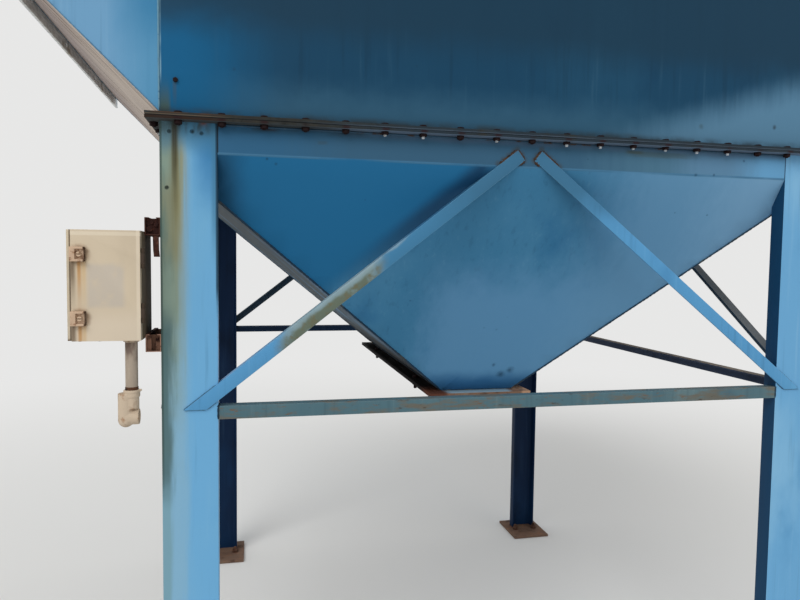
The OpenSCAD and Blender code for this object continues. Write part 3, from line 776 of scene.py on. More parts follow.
# painted shade on the upright band in the gaps beside the legs, in patches
beside_leg = fade(
    reckon("ABSOLUTE", axis("X")), HALF_WIDE - CHANNEL_W - 3.5 * MM, HALF_WIDE - CHANNEL_W - 1.5 * MM)
hopper_front.coat(
    (38, 40, 44), skirt, beside_leg, patches(0.2, 0.45, 0.03, 3.0, shift=2.0), 0.85, rough=0.8)
# rust has crept out of the welds at the tips of the braces
for x, z in ((0.084, 1.790), (0.070, 1.801), (0.056, 1.812), (0.043, 1.822), (0.033, 1.831),
             (0.022, 1.817), (0.014, 1.804)):
    for sx in (-1, 1):
        bleed = times(near((sx * x, -HALF_DEEP, z), 5 * MM, 8 * MM), facing((0, -1, 0)))
        hopper_front.coat((70, 70, 66), bleed, 0.6, rough=0.85)
smears = ((-0.655, 1.846, 14, 3, (56, 52, 54)), (0.38, 1.834, 80, 7, (78, 98, 104)),
          (0.30, 1.838, 20, 4, (78, 86, 70)), (-0.53, 1.822, 10, 4, (60, 84, 100)))
for x, z, wide, tall, colour in smears:
    smear = times(
        strip("X", x, wide * 0.6 * MM, wide * MM, 0.01), strip("Z", z, tall * 0.5 * MM, tall * MM, 0.006))
    hopper_front.coat(colour, smear, 0.55, rough=0.8)
marks = [
    (0.637, -0.975, 1.83, 3.0), (0.164, -0.975, 1.814, 1.5), (0.487, -0.975, 1.786, 3.5),
    (0.543, -0.975, 1.788, 2.5), (-0.417, -0.922, 1.694, 1.5), (-0.66, -0.971, 1.778, 2.5),
    (-0.639, -0.965, 1.768, 3.0), (0.467, -0.918, 1.686, 2.0), (0.571, -0.916, 1.683, 2.0),
    (0.039, -0.649, 1.223, 5.0), (0.097, -0.638, 1.204, 9.0), (0.07, -0.63, 1.19, 10.0),
    (0.045, -0.739, 1.378, 2.5), (0.02, -0.716, 1.338, 3.5), (-0.02, -0.72, 1.345, 3.0),
    (-0.26, -0.77, 1.43, 2.5)]
for x, y, z, size in marks:
    hopper_front.coat((30, 62, 88), near((x, y, z), size * 0.4 * MM, size * 1.6 * MM), 0.8, rough=0.8)

hopper_side = blue_paint("hopper side paint", (58, 104, 138), (84, 126, 152), (40, 88, 126), 0.5, 44.0)
# grey towards the left under the bend: partly dust, partly a painted reflection
dust_and_reflection = times(
    ramp("Z", BEND_Z + 0.02, BEND_Z - 0.06, 0.1), patches(0.3, 0.52, 0.3, 6.0, (1, 1, 1), 2.0),
    ramp("X", -0.05, -0.2))
hopper_side.coat((86, 90, 90), dust_and_reflection, 0.88, rough=0.9)
hopper_side.coat((112, 112, 106), dust_and_reflection, patches(0.56, 0.66, 0.02, 6.0, (1, 1, 1), 12.0), 0.7, rough=0.9)
# painted shade: near black towards the outlet on the left
hopper_side.coat((38, 40, 42), ramp("Z", 1.32, 1.2, 0.06), ramp("X", -0.02, -0.08), 0.9, rough=0.9)

for side in ("front", "back", "left", "right"):
    work = from_frame(f"hopper_{side}")
    long_side = side in ("front", "back")
    cut_rows(work, 0 if long_side else 1, [n * 0.06 for n in range(-16, 17)])
    cut_rows(work, 2, [OUTLET_Z + n * 0.0605 for n in range(1, 11)])
    across, reach, end = (0, HALF_WIDE, OUTLET_HALF_X) if long_side else (1, HALF_DEEP, OUTLET_HALF_Y)

    def room(p):
        half = end + (reach - end) * (p.z - OUTLET_Z) / (BEND_Z - OUTLET_Z)
        return min(half - abs(p[across]), BEND_Z - p.z, p.z - OUTLET_Z)

    dish(work, 6 * MM, len(side) * 7.3, room, Vector(outward[side]))
    round_edges(work, 1.0 * MM, 25)
    paint = hopper_front if side == "front" else hopper_side
    show(finished(work), f"hopper_plate_{side}", paint, f"hopper_{side}", slot="hopper_paint")

hip_weld = blue_paint("hip weld paint", (32, 56, 76), (48, 70, 86), (22, 40, 58), 0.6, 9.0)
hip_weld.coat((66, 72, 72), patches(0.54, 0.64, 0.05, 5.0), rough=0.85)
hip_welds = bmesh.new()
for sx in (-1, 1):
    for sy in (-1, 1):
        at_bend = Vector((sx * HALF_WIDE, sy * HALF_DEEP, BEND_Z))
        at_outlet = Vector((sx * OUTLET_HALF_X, sy * OUTLET_HALF_Y, OUTLET_Z))
        bead(
            hip_welds, [at_bend.lerp(at_outlet, 0.012), at_bend.lerp(at_outlet, 0.988)], 3.2 * MM, 6 * MM,
            seed=sx + 2 * sy)
outlet_ring = [(sx * OUTLET_HALF_X, sy * OUTLET_HALF_Y, OUTLET_Z)
               for sx, sy in ((-1, -1), (1, -1), (1, 1), (-1, 1), (-1, -1))]
bead(hip_welds, outlet_ring, 3.5 * MM, 6 * MM, seed=5)
show(finished(hip_welds, 60), "hip_welds", hip_weld)

# Lips: flat bars welded round the top of the hopper and the foot of the housing, with mitred corners.
# They are bare brown rust, and pulled slightly out of line between their bolts.
LIP_OUT = 28 * MM
LIP_IN = 30 * MM
BOLT_PITCH = 95.25 * MM
SEAM_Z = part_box("housing_lip")[0].z
lip_rust = Finish("rusty lip", (46, 45, 43), 0.85)
rust_over(
    lip_rust, patches(0.34, 0.54, 0.05, 6.0, shift=4.0), 0.6, (49, 50, 47), (62, 55, 47), (32, 34, 34))
to_left = ramp("X", -0.72, -0.8, 0.06)
lip_rust.coat(
    (37, 50, 60), ramp("X", -0.6, -0.25, 0.2), patches(0.24, 0.44, 0.06, 5.0, shift=9.0), 0.88, rough=0.7)
lip_rust.coat((50, 60, 66), patches(0.54, 0.66, 0.04, 6.0, (2, 2, 0.4), 29.0), 0.6, rough=0.75)
# painted highlight, in rust colours: a tan line along the upper bar's lower edge on the left
lip_rust.coat((94, 82, 68), strip("Z", SEAM_Z + 1.6 * MM, 0.9 * MM, 1.0 * MM), to_left, 0.95, rough=0.85)
# painted highlight: a blue-grey line along the same edge further right, in patches
lip_rust.coat(
    (60, 72, 80), strip("Z", SEAM_Z + 1.6 * MM, 0.8 * MM, 1.0 * MM), ramp("X", -0.55, -0.35, 0.2),
    patches(0.3, 0.55, 0.05, 4.0, shift=19.0), 0.8, rough=0.8)
lip_rust.coat(
    (72, 56, 46), strip("Z", SEAM_Z + 6.5 * MM, 1.0 * MM, 1.5 * MM), to_left, patches(0.35, 0.6, 0.03),
    rough=0.9)
# painted shade: the lower bar on the left is dark brown
lip_rust.coat((50, 34, 26), to_left, ramp("Z", SEAM_Z, SEAM_Z - 2 * MM, 0.002), 0.85, rough=0.9)
lip_rust.coat((22, 20, 20), strip("Z", SEAM_Z, 0.5 * MM, 0.8 * MM), 0.9, rough=0.95)
# each bolt of the front has stained the edge below it
from_bolt = reckon(
    "SUBTRACT", reckon("FRACT", reckon("ADD", reckon("DIVIDE", axis("X"), BOLT_PITCH), 100.5)), 0.5)
stain = times(
    fade(reckon("ABSOLUTE", from_bolt), 0.13, 0.05), facing((0, -1, 0)),
    ramp("Z", SEAM_Z + 1 * MM, SEAM_Z - 2 * MM, 0.004))
lip_rust.coat((44, 27, 30), stain, patches(0.3, 0.5, 0.1, 2.0, shift=6.0), 0.8, rough=0.9)
# the underside is paler, blue-grey to the right and grey to the left: partly the hopper's blue paint, partly
# painted light
lip_rust.coat((104, 122, 142), facing((0, 0, -1)), ramp("X", -0.62, -0.4, 0.1), 0.85, rough=0.7)
lip_rust.coat((70, 76, 78), facing((0, 0, -1)), ramp("X", -0.4, -0.62, 0.1), 0.7, rough=0.8)


def lip_bar(work, turn, half_along, half_face, low, high, seed):
    """One side of a lip, mitred at both ends, with an uneven outer edge."""
    place = turned_by(turn, "Z")
    count = int(2 * half_along / 0.048)
    loops = []
    for n in range(count + 1):
        share = -1 + 2 * n / count
        waver = noise.noise(Vector((share * 9, seed, 0)))
        lift = noise.noise(Vector((share * 7, seed, 5)))
        free = 0.0 if n in (0, count) else 1.0
        out = half_face + LIP_OUT - free * abs(waver) * 2.6 * MM
        into = half_face - LIP_IN
        rise = lift * 0.8 * MM * free
        ends = {y: share * (half_along + (y - half_face)) for y in (out, into)}
        c = 0.9 * MM
        section = [(out - c, low + rise), (out, low + c + rise), (out, high - c + rise),
                   (out - c, high + rise), (into, high), (into, low)]
        loops.append([place @ Vector((ends[out if y > into else into], -y, z)) for y, z in section])
    loft(work, loops)


sides = [(0, HALF_WIDE, HALF_DEEP), (90, HALF_DEEP, HALF_WIDE),
         (180, HALF_WIDE, HALF_DEEP), (270, HALF_DEEP, HALF_WIDE)]
for name, lift in (("hopper_lip", -0.4 * MM), ("housing_lip", 0.4 * MM)):
    low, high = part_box(name)
    work = bmesh.new()
    for turn, half_along, half_face in sides:
        lip_bar(
            work, turn, half_along, half_face, low.z + max(lift, 0), high.z + min(lift, 0),
            turn * 0.37 + lift * 9000)
    show(finished(work), f"{name}_bars", lip_rust, name, slot="rusty_lip")

lip_weld = blue_paint("lip weld paint", (50, 78, 100), (64, 94, 116), (36, 60, 80), 0.5, 6.0)
lip_weld.coat((66, 54, 48), patches(0.56, 0.64, 0.05, 5.0), rough=0.85)
HOUSING_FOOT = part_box("housing_front")[0].z
root_welds = bmesh.new()
for turn, half_along, half_face in sides:
    place = turned_by(turn, "Z")
    for z, radius, seed in ((HOPPER_TOP - 3 * MM, 2.6 * MM, 1), (HOUSING_FOOT + 1 * MM, 2.6 * MM, 2)):
        reach = half_along - (CHANNEL_W if z < HOPPER_TOP and half_along == HALF_WIDE else 0.002)
        bead(
            root_welds, [place @ Vector((x, -half_face, z)) for x in (-reach, reach)], radius, 7 * MM,
            seed + turn)
show(finished(root_welds, 60), "lip_root_welds", lip_weld)

# Joint bolts: short bolts a hand apart all the way round, heads up. Their nuts hang below the
# lips, dark red with rust and darker still with painted shade, and a few ends still show zinc.
BOLT_OUT = 14.5 * MM
HEAD_H, NUT_H = 4.6 * MM, 8 * MM
front_bright = (-4, -3, -1, 1, 2, 3, 4, 5, 6)
zinc_end = Finish("zinc ends", (184, 190, 196), 0.45, 0.2)
zinc_end.coat((150, 132, 96), patches(0.55, 0.7, 0.006, 4.0), rough=0.8)
top_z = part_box("housing_lip")[1].z
heads, ends = bmesh.new(), bmesh.new()
rng = random.Random(7)
for turn, half_along, half_face in sides:
    count = int((half_along + 0.01) / BOLT_PITCH)
    for n in range(-count, count + 1):
        spot = turned_by(turn, "Z") @ shifted(n * BOLT_PITCH, -half_face - BOLT_OUT, 0)
        lean = Matrix.Rotation(rng.uniform(-0.03, 0.03), 4, "X")
        up = spot @ shifted(0, 0, top_z - 0.2 * MM)
        nut(heads, up @ lean, 16 * MM, HEAD_H, rng.uniform(0, 1))
        down = spot @ shifted(0, 0, HOPPER_TOP + 0.2 * MM) @ turned_by(180, "X")
        bright = n in front_bright if turn == 0 else rng.random() < 0.4
        thick = NUT_H - (1.5 * MM if bright else 0)
        washer(heads, down, 9.5 * MM, 1.2 * MM)
        nut(heads, down @ shifted(0, 0, 1.1 * MM) @ lean, 16 * MM, thick, rng.uniform(0, 1))
        stack(heads, [(5.4 * MM, -16 * MM), (5.4 * MM, 3 * MM)], down, 10)
        radius, length = (4.2, rng.uniform(4, 5.5)) if bright else (4.8, rng.uniform(1.6, 3))
        tip = down @ shifted(0, 0, thick + 0.8 * MM)
        stud(ends if bright else heads, tip, radius * MM, length * MM, 1.6 * MM)
show(finished(heads, 40), "joint_bolts", shaded_rusty_bolt, slot="rusty_lip")
show(finished(ends, 40), "bolt_ends", zinc_end)

# Housing: four welded sheets standing on the upper lip, with a lid whose edge is turned down over them
# and held with small screws. Only the lowest part is known, so the rest is kept plain.
wall_paint = blue_paint("housing paint", (20, 65, 93), (30, 76, 104), (13, 56, 84), 0.5, 70.0)
# painted light and shade on the walls: lighter near the foot and low on the right, deeper blue to the left,
# dark higher up as a painted shadow, and plainer above that
up_high = ramp("Z", 2.02, 2.13, 0.05)
low_band = ramp("Z", HOUSING_FOOT + 0.12, HOUSING_FOOT + 0.02, 0.05)
wall_paint.coat((50, 92, 118), low_band, 0.9)
lower_right = reckon(
    "SUBTRACT", axis("X", 0.12), reckon("MULTIPLY", reckon("SUBTRACT", axis("Z"), HOUSING_FOOT), 3.0))
wall_paint.coat((86, 128, 156), fade(lower_right, 0.1, 0.44), facing((0, -1, 0)), 0.95)
to_left = ramp("X", -0.6, -0.86, 0.06)
wall_paint.coat((10, 92, 136), to_left, 0.9)
wall_paint.coat((24, 57, 78), up_high, 0.85)
wall_paint.coat((30, 80, 114), ramp("Z", 2.3, 2.75, 0.3), 0.9)
# the walls that don't look to the front get a clearer blue; the front's darker colour is painted shade
wall_paint.coat((48, 104, 146), fade(facing((0, -1, 0)), 0.6, 0.2), 0.85)
front_face = facing((0, -1, 0))
wall_paint.coat(
    (124, 164, 182), front_face, strip("X", -0.896, 0.8 * MM, 1.6 * MM),
    ramp("Z", HOUSING_FOOT + 0.06, HOUSING_FOOT + 0.1), patches(0.3, 0.55, 0.05, 3.0, (1, 1, 3)), 0.8)
wall_paint.coat(
    (74, 92, 80), front_face, strip("X", -0.888, 6 * MM, 10 * MM, 0.01),
    ramp("Z", HOUSING_FOOT + 0.09, HOUSING_FOOT + 0.01, 0.03), 0.85, rough=0.8)
knocks = ((-0.864, 1.946, 5, (66, 84, 84)), (-0.734, 1.980, 4, (26, 62, 90)),
          (0.732, 1.928, 5, (40, 44, 46)), (0.499, 1.918, 6, (70, 100, 116)), (-0.30, 2.02, 3, (26, 56, 78)))
for x, z, size, colour in knocks:
    wall_paint.coat(colour, near((x, -HALF_DEEP, z), size * 0.5 * MM, size * 1.4 * MM), 0.85, rough=0.8)
wall_paint.coat(
    (74, 74, 62), front_face, strip("X", -0.866, 1.5 * MM, 5 * MM, 0.006),
    ramp("Z", HOUSING_FOOT, HOUSING_FOOT + 0.07, 0.03), ramp("Z", 1.945, 1.94), 0.35, rough=0.8)
foot_dirt = ramp("Z", HOUSING_FOOT + 0.022, HOUSING_FOOT + 0.002, 0.012)
wall_paint.coat((54, 66, 72), foot_dirt, patches(0.34, 0.6, 0.06, 5.0), 0.85, rough=0.85)
ROOF_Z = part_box("housing_front")[1].z
for side in ("front", "back", "left", "right"):
    node = f"housing_{side}"
    work = from_frame(node)
    if side in ("front", "back"):
        cut_rows(work, 0, [n * 0.1 for n in range(-8, 9)])
        cut_rows(work, 2, [HOUSING_FOOT + n * 0.1 for n in range(1, 19)])
        dish(
            work, 7 * MM, len(side) * 3.1,
            lambda p: min(HALF_WIDE - abs(p.x), p.z - HOUSING_FOOT, ROOF_Z - p.z), Vector(outward[side]))
    round_edges(work, 1.0 * MM)
    show(finished(work), f"wall_{side}", wall_paint, node, slot="housing_paint")
show(eased("housing_roof", 2.5 * MM), "lid", wall_paint, "housing_roof", slot="housing_paint")

LID_SCREW_STEP = 0.25
low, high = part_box("housing_roof")
lid_screws = bmesh.new()
screw_z = low.z + 22 * MM
for turn in (0, 90, 180, 270):
    half_along, half_face = (high.x, high.y) if turn in (0, 180) else (high.y, high.x)
    count = int((half_along - 0.06) / LID_SCREW_STEP)
    for n in range(-count, count + 1):
        face_out = turned_by(turn, "Z") @ shifted(n * LID_SCREW_STEP, -half_face, screw_z)
        face_out = face_out @ turned_by(90, "X")
        washer(lid_screws, face_out @ shifted(0, 0, -1 * MM), 8 * MM, 2.5 * MM)
        nut(lid_screws, face_out @ shifted(0, 0, 1 * MM), 10 * MM, 4.5 * MM, n * 0.7)
loose_screw = shifted(-0.864, -HALF_DEEP + 1 * MM, 1.946) @ turned_by(90, "X")
nut(lid_screws, loose_screw, 10 * MM, 5 * MM, 0.4)
show(finished(lid_screws, 40), "lid_screws", shaded_rusty_bolt, slot="rusty_lip")

wall_seam = blue_paint("wall seam paint", (104, 146, 166), (118, 156, 174), (80, 126, 152), 0.5, 14.0)
wall_seam.coat((48, 84, 106), patches(0.6, 0.7, 0.05, 4.0, (1, 1, 3), 7.0))
wall_seam.coat((20, 65, 93), ramp("Z", 2.25, 2.6, 0.2))
corner_seams = bmesh.new()
for sx in (-1, 1):
    for sy in (-1, 1):
        bead(
            corner_seams, [(sx * HALF_WIDE, sy * HALF_DEEP, z) for z in (HOUSING_FOOT + 8 * MM, low.z)],
            2.2 * MM, 8 * MM, seed=sx - sy)
show(finished(corner_seams, 60), "corner_seams", wall_seam)

# Duct transitions: four tapered plates on each side wall, welded at their seams, and a drilled pale
# galvanised flange at the mouth. Dust has browned the plates underneath.
# the duct paint is paler than the housing's front, as painted light; it darkens near the wall as painted
# shade
duct_skin = blue_paint("duct paint", (108, 156, 192), (120, 166, 198), (92, 148, 188), 0.45, 90.0)
near_wall = fade(reckon("ABSOLUTE", axis("X", 0.02)), 1.03, 0.91)
duct_skin.coat((78, 140, 178), near_wall, 0.85)
duct_skin.coat((50, 120, 162), near_wall, ramp("Z", 1.98, 2.12, 0.05), 0.8)
dusty_under = Finish("dusty duct underside", (204, 191, 180), 0.85)
dusty_under.coat((168, 156, 152), fade(reckon("ABSOLUTE", axis("X", 0.05)), 1.05, 1.28))
dusty_under.coat((124, 98, 80), patches(0.52, 0.68, 0.016, 5.0, (16, 1, 16), 3.0), rough=0.9)
dusty_under.coat((92, 94, 92), patches(0.54, 0.7, 0.03, 5.0, (10, 1, 10), 7.0), 0.7, rough=0.9)
dusty_under.raise_by(cloud(0.02, 4.0), 0.4)
galvanised = Finish("galvanised flange", (206, 208, 206), 0.5, 0.0, 0.4)
galvanised.coat((228, 230, 228), patches(0.4, 0.6, 0.02, 3.0))
galvanised.coat((176, 170, 158), patches(0.56, 0.7, 0.1, 5.0, shift=3.0), rough=0.7)


def corner_of(node, x, y, z):
    """The corner of a frame piece that lies furthest in a direction."""
    way = Vector((x, y, z))
    return max((v.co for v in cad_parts[node].data.vertices), key=way.dot).copy()


seam_dirt = blue_paint("duct seam paint", (82, 124, 152), (104, 146, 172), (62, 98, 124), 0.6, 24.0)
duct_seams = bmesh.new()
for duct, sx in (("inlet", -1), ("outlet_duct", 1)):
    for side in ("front", "back", "top", "bottom"):
        node = f"{duct}_{side}"
        paint = dusty_under if side == "bottom" else duct_skin
        show(eased(node, 1.0 * MM), f"{node}_plate", paint, node, slot="housing_paint")
    node = f"{duct}_flange"
    show(eased(node, 1.0 * MM), f"{duct}_frame", galvanised, node, slot="rusty_steel")
    root, mouth = [], []
    for y, z in ((-1, -1), (1, -1), (1, 1), (-1, 1)):
        cheek = f"{duct}_{'front' if y < 0 else 'back'}"
        root.append(corner_of(cheek, -sx * 100, y * 0.1, z))
        mouth.append(corner_of(cheek, sx * 100, y * 0.1, z))
        bead(duct_seams, [root[-1], mouth[-1]], 1.6 * MM, 7 * MM, seed=sx + y * 2)
    bead(duct_seams, root + root[:1], 1.8 * MM, 7 * MM, seed=sx)
    bead(duct_seams, mouth + mouth[:1], 2.4 * MM, 7 * MM, seed=sx + 8)
show(finished(duct_seams, 60), "duct_seams", seam_dirt)

# Control box: a small steel enclosure with a turned rim, hung beside the front left leg. Its door
# closes on two screw clamps, whose rust has run down the cream paint.
BOX_LOW, BOX_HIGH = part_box("control_box")
DOOR_LOW, DOOR_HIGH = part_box("control_box_door")
CLAMP_LOW, CLAMP_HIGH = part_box("door_clamps")
CLAMP_H = 32 * MM
clamp_zs = (CLAMP_LOW.z + CLAMP_H / 2, CLAMP_HIGH.z - CLAMP_H / 2)
box_skin = Finish("box paint", (202, 187, 162), 0.42, 0.0, 0.3)
box_skin.coat((190, 178, 158), patches(0.46, 0.7, 0.1, 5.0, (1, 1, 1.5)))
box_skin.coat((216, 202, 180), patches(0.5, 0.7, 0.05, 4.0, shift=6.0), 0.6)
# painted shade, broken into patches, on the side that looks to the right
box_skin.coat(
    (118, 104, 78), facing((1, 0, 0)), patches(0.2, 0.5, 0.08, 5.0, (1, 1, 3), 3.0), 0.9, rough=0.7)
box_skin.coat((120, 104, 84), edges(2.5 * MM), patches(0.5, 0.66, 0.02, 5.0), 0.8, rough=0.8)
box_skin.coat(
    (96, 70, 50), ramp("Z", BOX_LOW.z + 7 * MM, BOX_LOW.z, 0.01), patches(0.4, 0.6, 0.02), rough=0.85)
# the hinge side and the joint beside the door are darkened with painted shade
box_skin.coat((62, 50, 38), ramp("X", -0.935, -0.9335), rough=0.8)
box_skin.coat(
    (92, 76, 58), strip("X", DOOR_LOW.x - 4.0 * MM, 1.2 * MM, 1.4 * MM), facing((0, -1, 0)), 0.85,
    rough=0.8)
box_skin.raise_by(cloud(0.004, 2.0), 0.06)
door_skin = Finish("door paint", (204, 188, 163), 0.42, 0.0, 0.3)
door_skin.coat((196, 180, 156), patches(0.42, 0.7, 0.12, 5.0, (1, 1, 1.5)))
door_skin.coat((220, 205, 184), ramp("Z", BOX_LOW.z + 0.09, BOX_LOW.z + 0.03), 0.6)
patch = times(strip("X", -1.006, 0.03, 0.014, 0.01), strip("Z", 1.48, 0.04, 0.014, 0.01))
door_skin.coat((190, 180, 167), patch, patches(0.1, 0.5, 0.03, 4.0), 0.75)
for clamp_z in clamp_zs:
    below = clamp_z - CLAMP_H / 2
    trails = ((-1.0735, 0.009, (112, 94, 74), 0.9), (-1.0595, 0.006, (184, 138, 84), 0.9),
              (-1.051, 0.007, (202, 172, 128), 0.7))
    for x, width, colour, strength in trails:
        trail = times(
            strip("X", x, 1 * MM, width, 0.004), ramp("Z", below - 0.125, below - 0.01, 0.03),
            ramp("Z", below + 6 * MM, below + 2 * MM))
        door_skin.coat(colour, trail, strength, rough=0.6)
    halo = near((-1.058, DOOR_LOW.y, clamp_z), 17 * MM, 9 * MM)
    door_skin.coat((124, 90, 58), halo, 0.7, rough=0.7)
# painted shade on the door's hinge side
door_skin.coat((66, 54, 44), ramp("X", -0.9356, -0.9344), rough=0.8)
door_skin.coat((222, 208, 186), strip("X", -0.94, 2.4 * MM, 2 * MM), 0.6)
door_skin.coat((128, 112, 92), edges(2 * MM), patches(0.55, 0.66, 0.02, 5.0), 0.7, rough=0.8)
# painted highlight: a paler band along the top of the door
door_skin.coat((224, 212, 190), strip("Z", DOOR_HIGH.z - 8 * MM, 3 * MM, 2 * MM), 0.5)
door_skin.raise_by(cloud(0.004, 2.0), 0.06)
show(eased("control_box", 1.0 * MM), "box_shell", box_skin, "control_box", slot="box_paint")
show(eased("control_box_door", 2.0 * MM, 60, 3), "box_door_panel", door_skin, "control_box_door",
     body="box_door", slot="box_paint")

clamp_steel = Finish("clamp steel", (198, 170, 144), 0.6, 0.1)
rust_over(clamp_steel, patches(0.56, 0.66, 0.01, 5.0), 0.2, (156, 122, 98), (184, 142, 108), (96, 70, 54))
# painted shadow: a dark line down the right side of each clamp
clamp_steel.coat((76, 54, 40), ramp("X", CLAMP_HIGH.x - 4 * MM, CLAMP_HIGH.x - 1 * MM), rough=0.8)
clamp_steel.coat((214, 192, 166), edges(2 * MM), patches(0.44, 0.56, 0.01, 3.0, shift=4.0), 0.8, rough=0.5)
show(eased("door_clamps", 1.2 * MM), "screw_clamps", clamp_steel, "door_clamps",
     body="box_door", slot="rusty_bracket")
clamp_screws = bmesh.new()
for clamp_z in clamp_zs:
    for across, radius, proud in ((19 * MM, 5.6 * MM, 8.0 * MM), (6 * MM, 2.2 * MM, 0.0)):
        x = DOOR_LOW.x + across
        pit = CLAMP_LOW.y + (8.5 * MM if proud else 2.2 * MM)
        facing_out = shifted(x, pit, clamp_z) @ turned_by(90, "X")
        h = proud or 1.9 * MM
        for half in (-1, 1):
            # two half discs with the slot between them
            swell = radius - 0.8 * MM
            ring = []
            for k in range(9):
                a = math.pi * k / 8
                rise = half * (0.8 * MM + swell * math.sin(a))
                ring.append(facing_out @ Vector((radius * math.cos(a), rise, 0)))
            lift = facing_out.to_3x3() @ Vector((0, 0, h))
            rim = [p + lift * 0.7 for p in ring]
            centre = sum(ring, Vector()) / len(ring)
            top = [centre.lerp(p, 0.8) + lift for p in ring]
            loops = [ring, rim, top]
            loft(clamp_screws, loops if half > 0 else [loop[::-1] for loop in loops])
        stack(clamp_screws, [(radius * 0.9, -1 * MM), (radius * 0.9, h * 0.3)], facing_out, 16)
clamp_screw = Finish("clamp screws", (200, 174, 148), 0.5, 0.3)
clamp_screw.coat((128, 98, 74), patches(0.54, 0.66, 0.005, 4.0), rough=0.85)
show(finished(clamp_screws, 40), "clamp_screws", clamp_screw, body="box_door")

black_plug = Finish("black plugs", (26, 25, 25), 0.6)
black_plug.coat((60, 54, 48), patches(0.5, 0.7, 0.01), rough=0.8)
plugs = bmesh.new()
for x, radius in ((-1.069, 6.5 * MM), (-1.028, 6.0 * MM)):
    stack(
        plugs, [(radius * 0.7, -4.5 * MM), (radius, -3.2 * MM), (radius, 1 * MM)],
        shifted(x, -0.99, BOX_LOW.z), 16)
show(finished(plugs, 40), "box_plugs", black_plug)

# Box supports: two short lengths of lipped strut channel on the side of the leg, brown with rust, each
# with a spring nut still in its end. A scrap of strap hangs from the upper one.
strut = Finish("rusty strut", (74, 50, 42), 0.85)
rust_over(strut, patches(0.3, 0.5, 0.03, 5.0), 0.4, (72, 46, 39), (112, 72, 58), (36, 25, 23))
lower_end = times(facing((0, -1, 0)), ramp("Z", 1.42, 1.38))
strut.coat((176, 136, 116), lower_end, patches(0.2, 0.45, 0.01, 4.0), 0.9)
show(eased("box_struts", 0.6 * MM), "strut_channels", strut, "box_struts", slot="rusty_bracket")
STRUT_LOW, STRUT_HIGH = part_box("box_struts")
STRUT_H, STRUT_T = 41 * MM, 2.5 * MM
strut_nut = Finish("strut nuts", (46, 28, 25), 0.9)
rust_over(strut_nut, patches(0.4, 0.6, 0.01, 4.0), 0.3, (56, 33, 29), (112, 66, 50), (24, 17, 17))
strut_nut.coat((150, 112, 92), ramp("Z", 1.42, 1.38), facing((0, -1, 0)), patches(0.3, 0.5, 0.02, 4.0), 0.8)
cores = bmesh.new()
into = turned_by(-90, "X")
for base_z in (STRUT_LOW.z, STRUT_HIGH.z - STRUT_H):
    left, right = STRUT_LOW.x + STRUT_T, STRUT_HIGH.x - STRUT_T
    low_z, high_z = base_z + STRUT_T, base_z + STRUT_H - STRUT_T
    y = STRUT_LOW.y + 7 * MM
    upper = base_z > STRUT_LOW.z + 0.1
    block = [(left, low_z), (right, low_z), (right, high_z), (left, high_z)]
    if not upper:
        # the lower one's nut fills the sides and leaves a dark slot up the middle
        for span in ((left, left + 10 * MM), (right - 10 * MM, right)):
            ring = [(span[0], low_z), (span[1], low_z), (span[1], high_z), (span[0], high_z)]
            loft(cores, [[Vector((x, depth, z)) for x, z in ring] for depth in (y, y + 8 * MM)])
        y += 12 * MM
    loft(cores, [[Vector((x, depth, z)) for x, z in block] for depth in (y, y + 6 * MM)])
    # a stop plate welded in the far end
    far_end = (STRUT_HIGH.y - 5 * MM, STRUT_HIGH.y - 2 * MM)
    loft(cores, [[Vector((x, depth, z)) for x, z in block] for depth in far_end])
    if upper:
        chips = ((left + 8 * MM, low_z + 12 * MM, 8 * MM), (left + 13 * MM, high_z - 9 * MM, 5 * MM),
                 (right - 7 * MM, low_z + 22 * MM, 6 * MM))
        for x, z, size in chips:
            nut(cores, shifted(x, y + 1 * MM, z) @ turned_by(90, "X"), size * 1.6, 5 * MM, size * 90)
show(finished(cores, 40), "strut_nuts", strut_nut, slot="rusty_bracket")
strap = bmesh.new()
strap_top = STRUT_HIGH.z - STRUT_H + 1 * MM
strap_ring = [(-0.9165, -0.972), (-0.9035, -0.972), (-0.9035, -0.9695), (-0.9165, -0.9695)]
loft(strap, [[Vector((x + bend, y + bend, z)) for x, y in strap_ring]
             for z, bend in ((strap_top - 0.050, 0.002), (strap_top - 0.034, 0.0006), (strap_top, 0.0))])
round_edges(strap, 0.5 * MM)
show(finished(strap), "strut_strap", strut, slot="rusty_bracket")

# Conduit: a short threaded steel pipe out of the box's floor, screwed into a cast elbow whose side
# hub stands open. Both are galvanised and gone dull.
pipe_skin = Finish("conduit", (168, 154, 139), 0.6, 0.1)
pipe_skin.coat((122, 106, 96), patches(0.45, 0.66, 0.03, 5.0, (1, 1, 3)))
pipe_skin.coat((184, 170, 152), patches(0.5, 0.7, 0.012, 4.0, (1, 1, 4), 4.0), 0.6)
pipe_skin.raise_by(cloud(0.004, 3.0), 0.12)
cast_skin = Finish("cast elbow", (196, 178, 156), 0.7)
cast_skin.coat((166, 146, 124), patches(0.48, 0.66, 0.03, 5.0), rough=0.8)
cast_skin.coat((150, 110, 80), patches(0.58, 0.7, 0.02, 5.0, shift=6.0), 0.8, rough=0.85)
cast_skin.raise_by(cloud(0.003, 3.0), 0.2)
show(eased("conduit_drop", 0.8 * MM, 60), "conduit_pipe", pipe_skin, "conduit_drop", slot="conduit_grey")


def cast(mesh, grain, passes):
    """Melts a mesh's corners together, as a sand casting's are."""
    body = bpy.data.objects.new("casting", mesh)
    bpy.context.scene.collection.objects.link(body)
    blend = body.modifiers.new("blend", "REMESH")
    blend.mode = "VOXEL"
    blend.voxel_size = grain
    soften = body.modifiers.new("soften", "SMOOTH")
    soften.factor = 0.5
    soften.iterations = passes
    result = bpy.data.meshes.new_from_object(body.evaluated_get(bpy.context.evaluated_depsgraph_get()))
    bpy.data.objects.remove(body)
    result.shade_smooth()
    return result


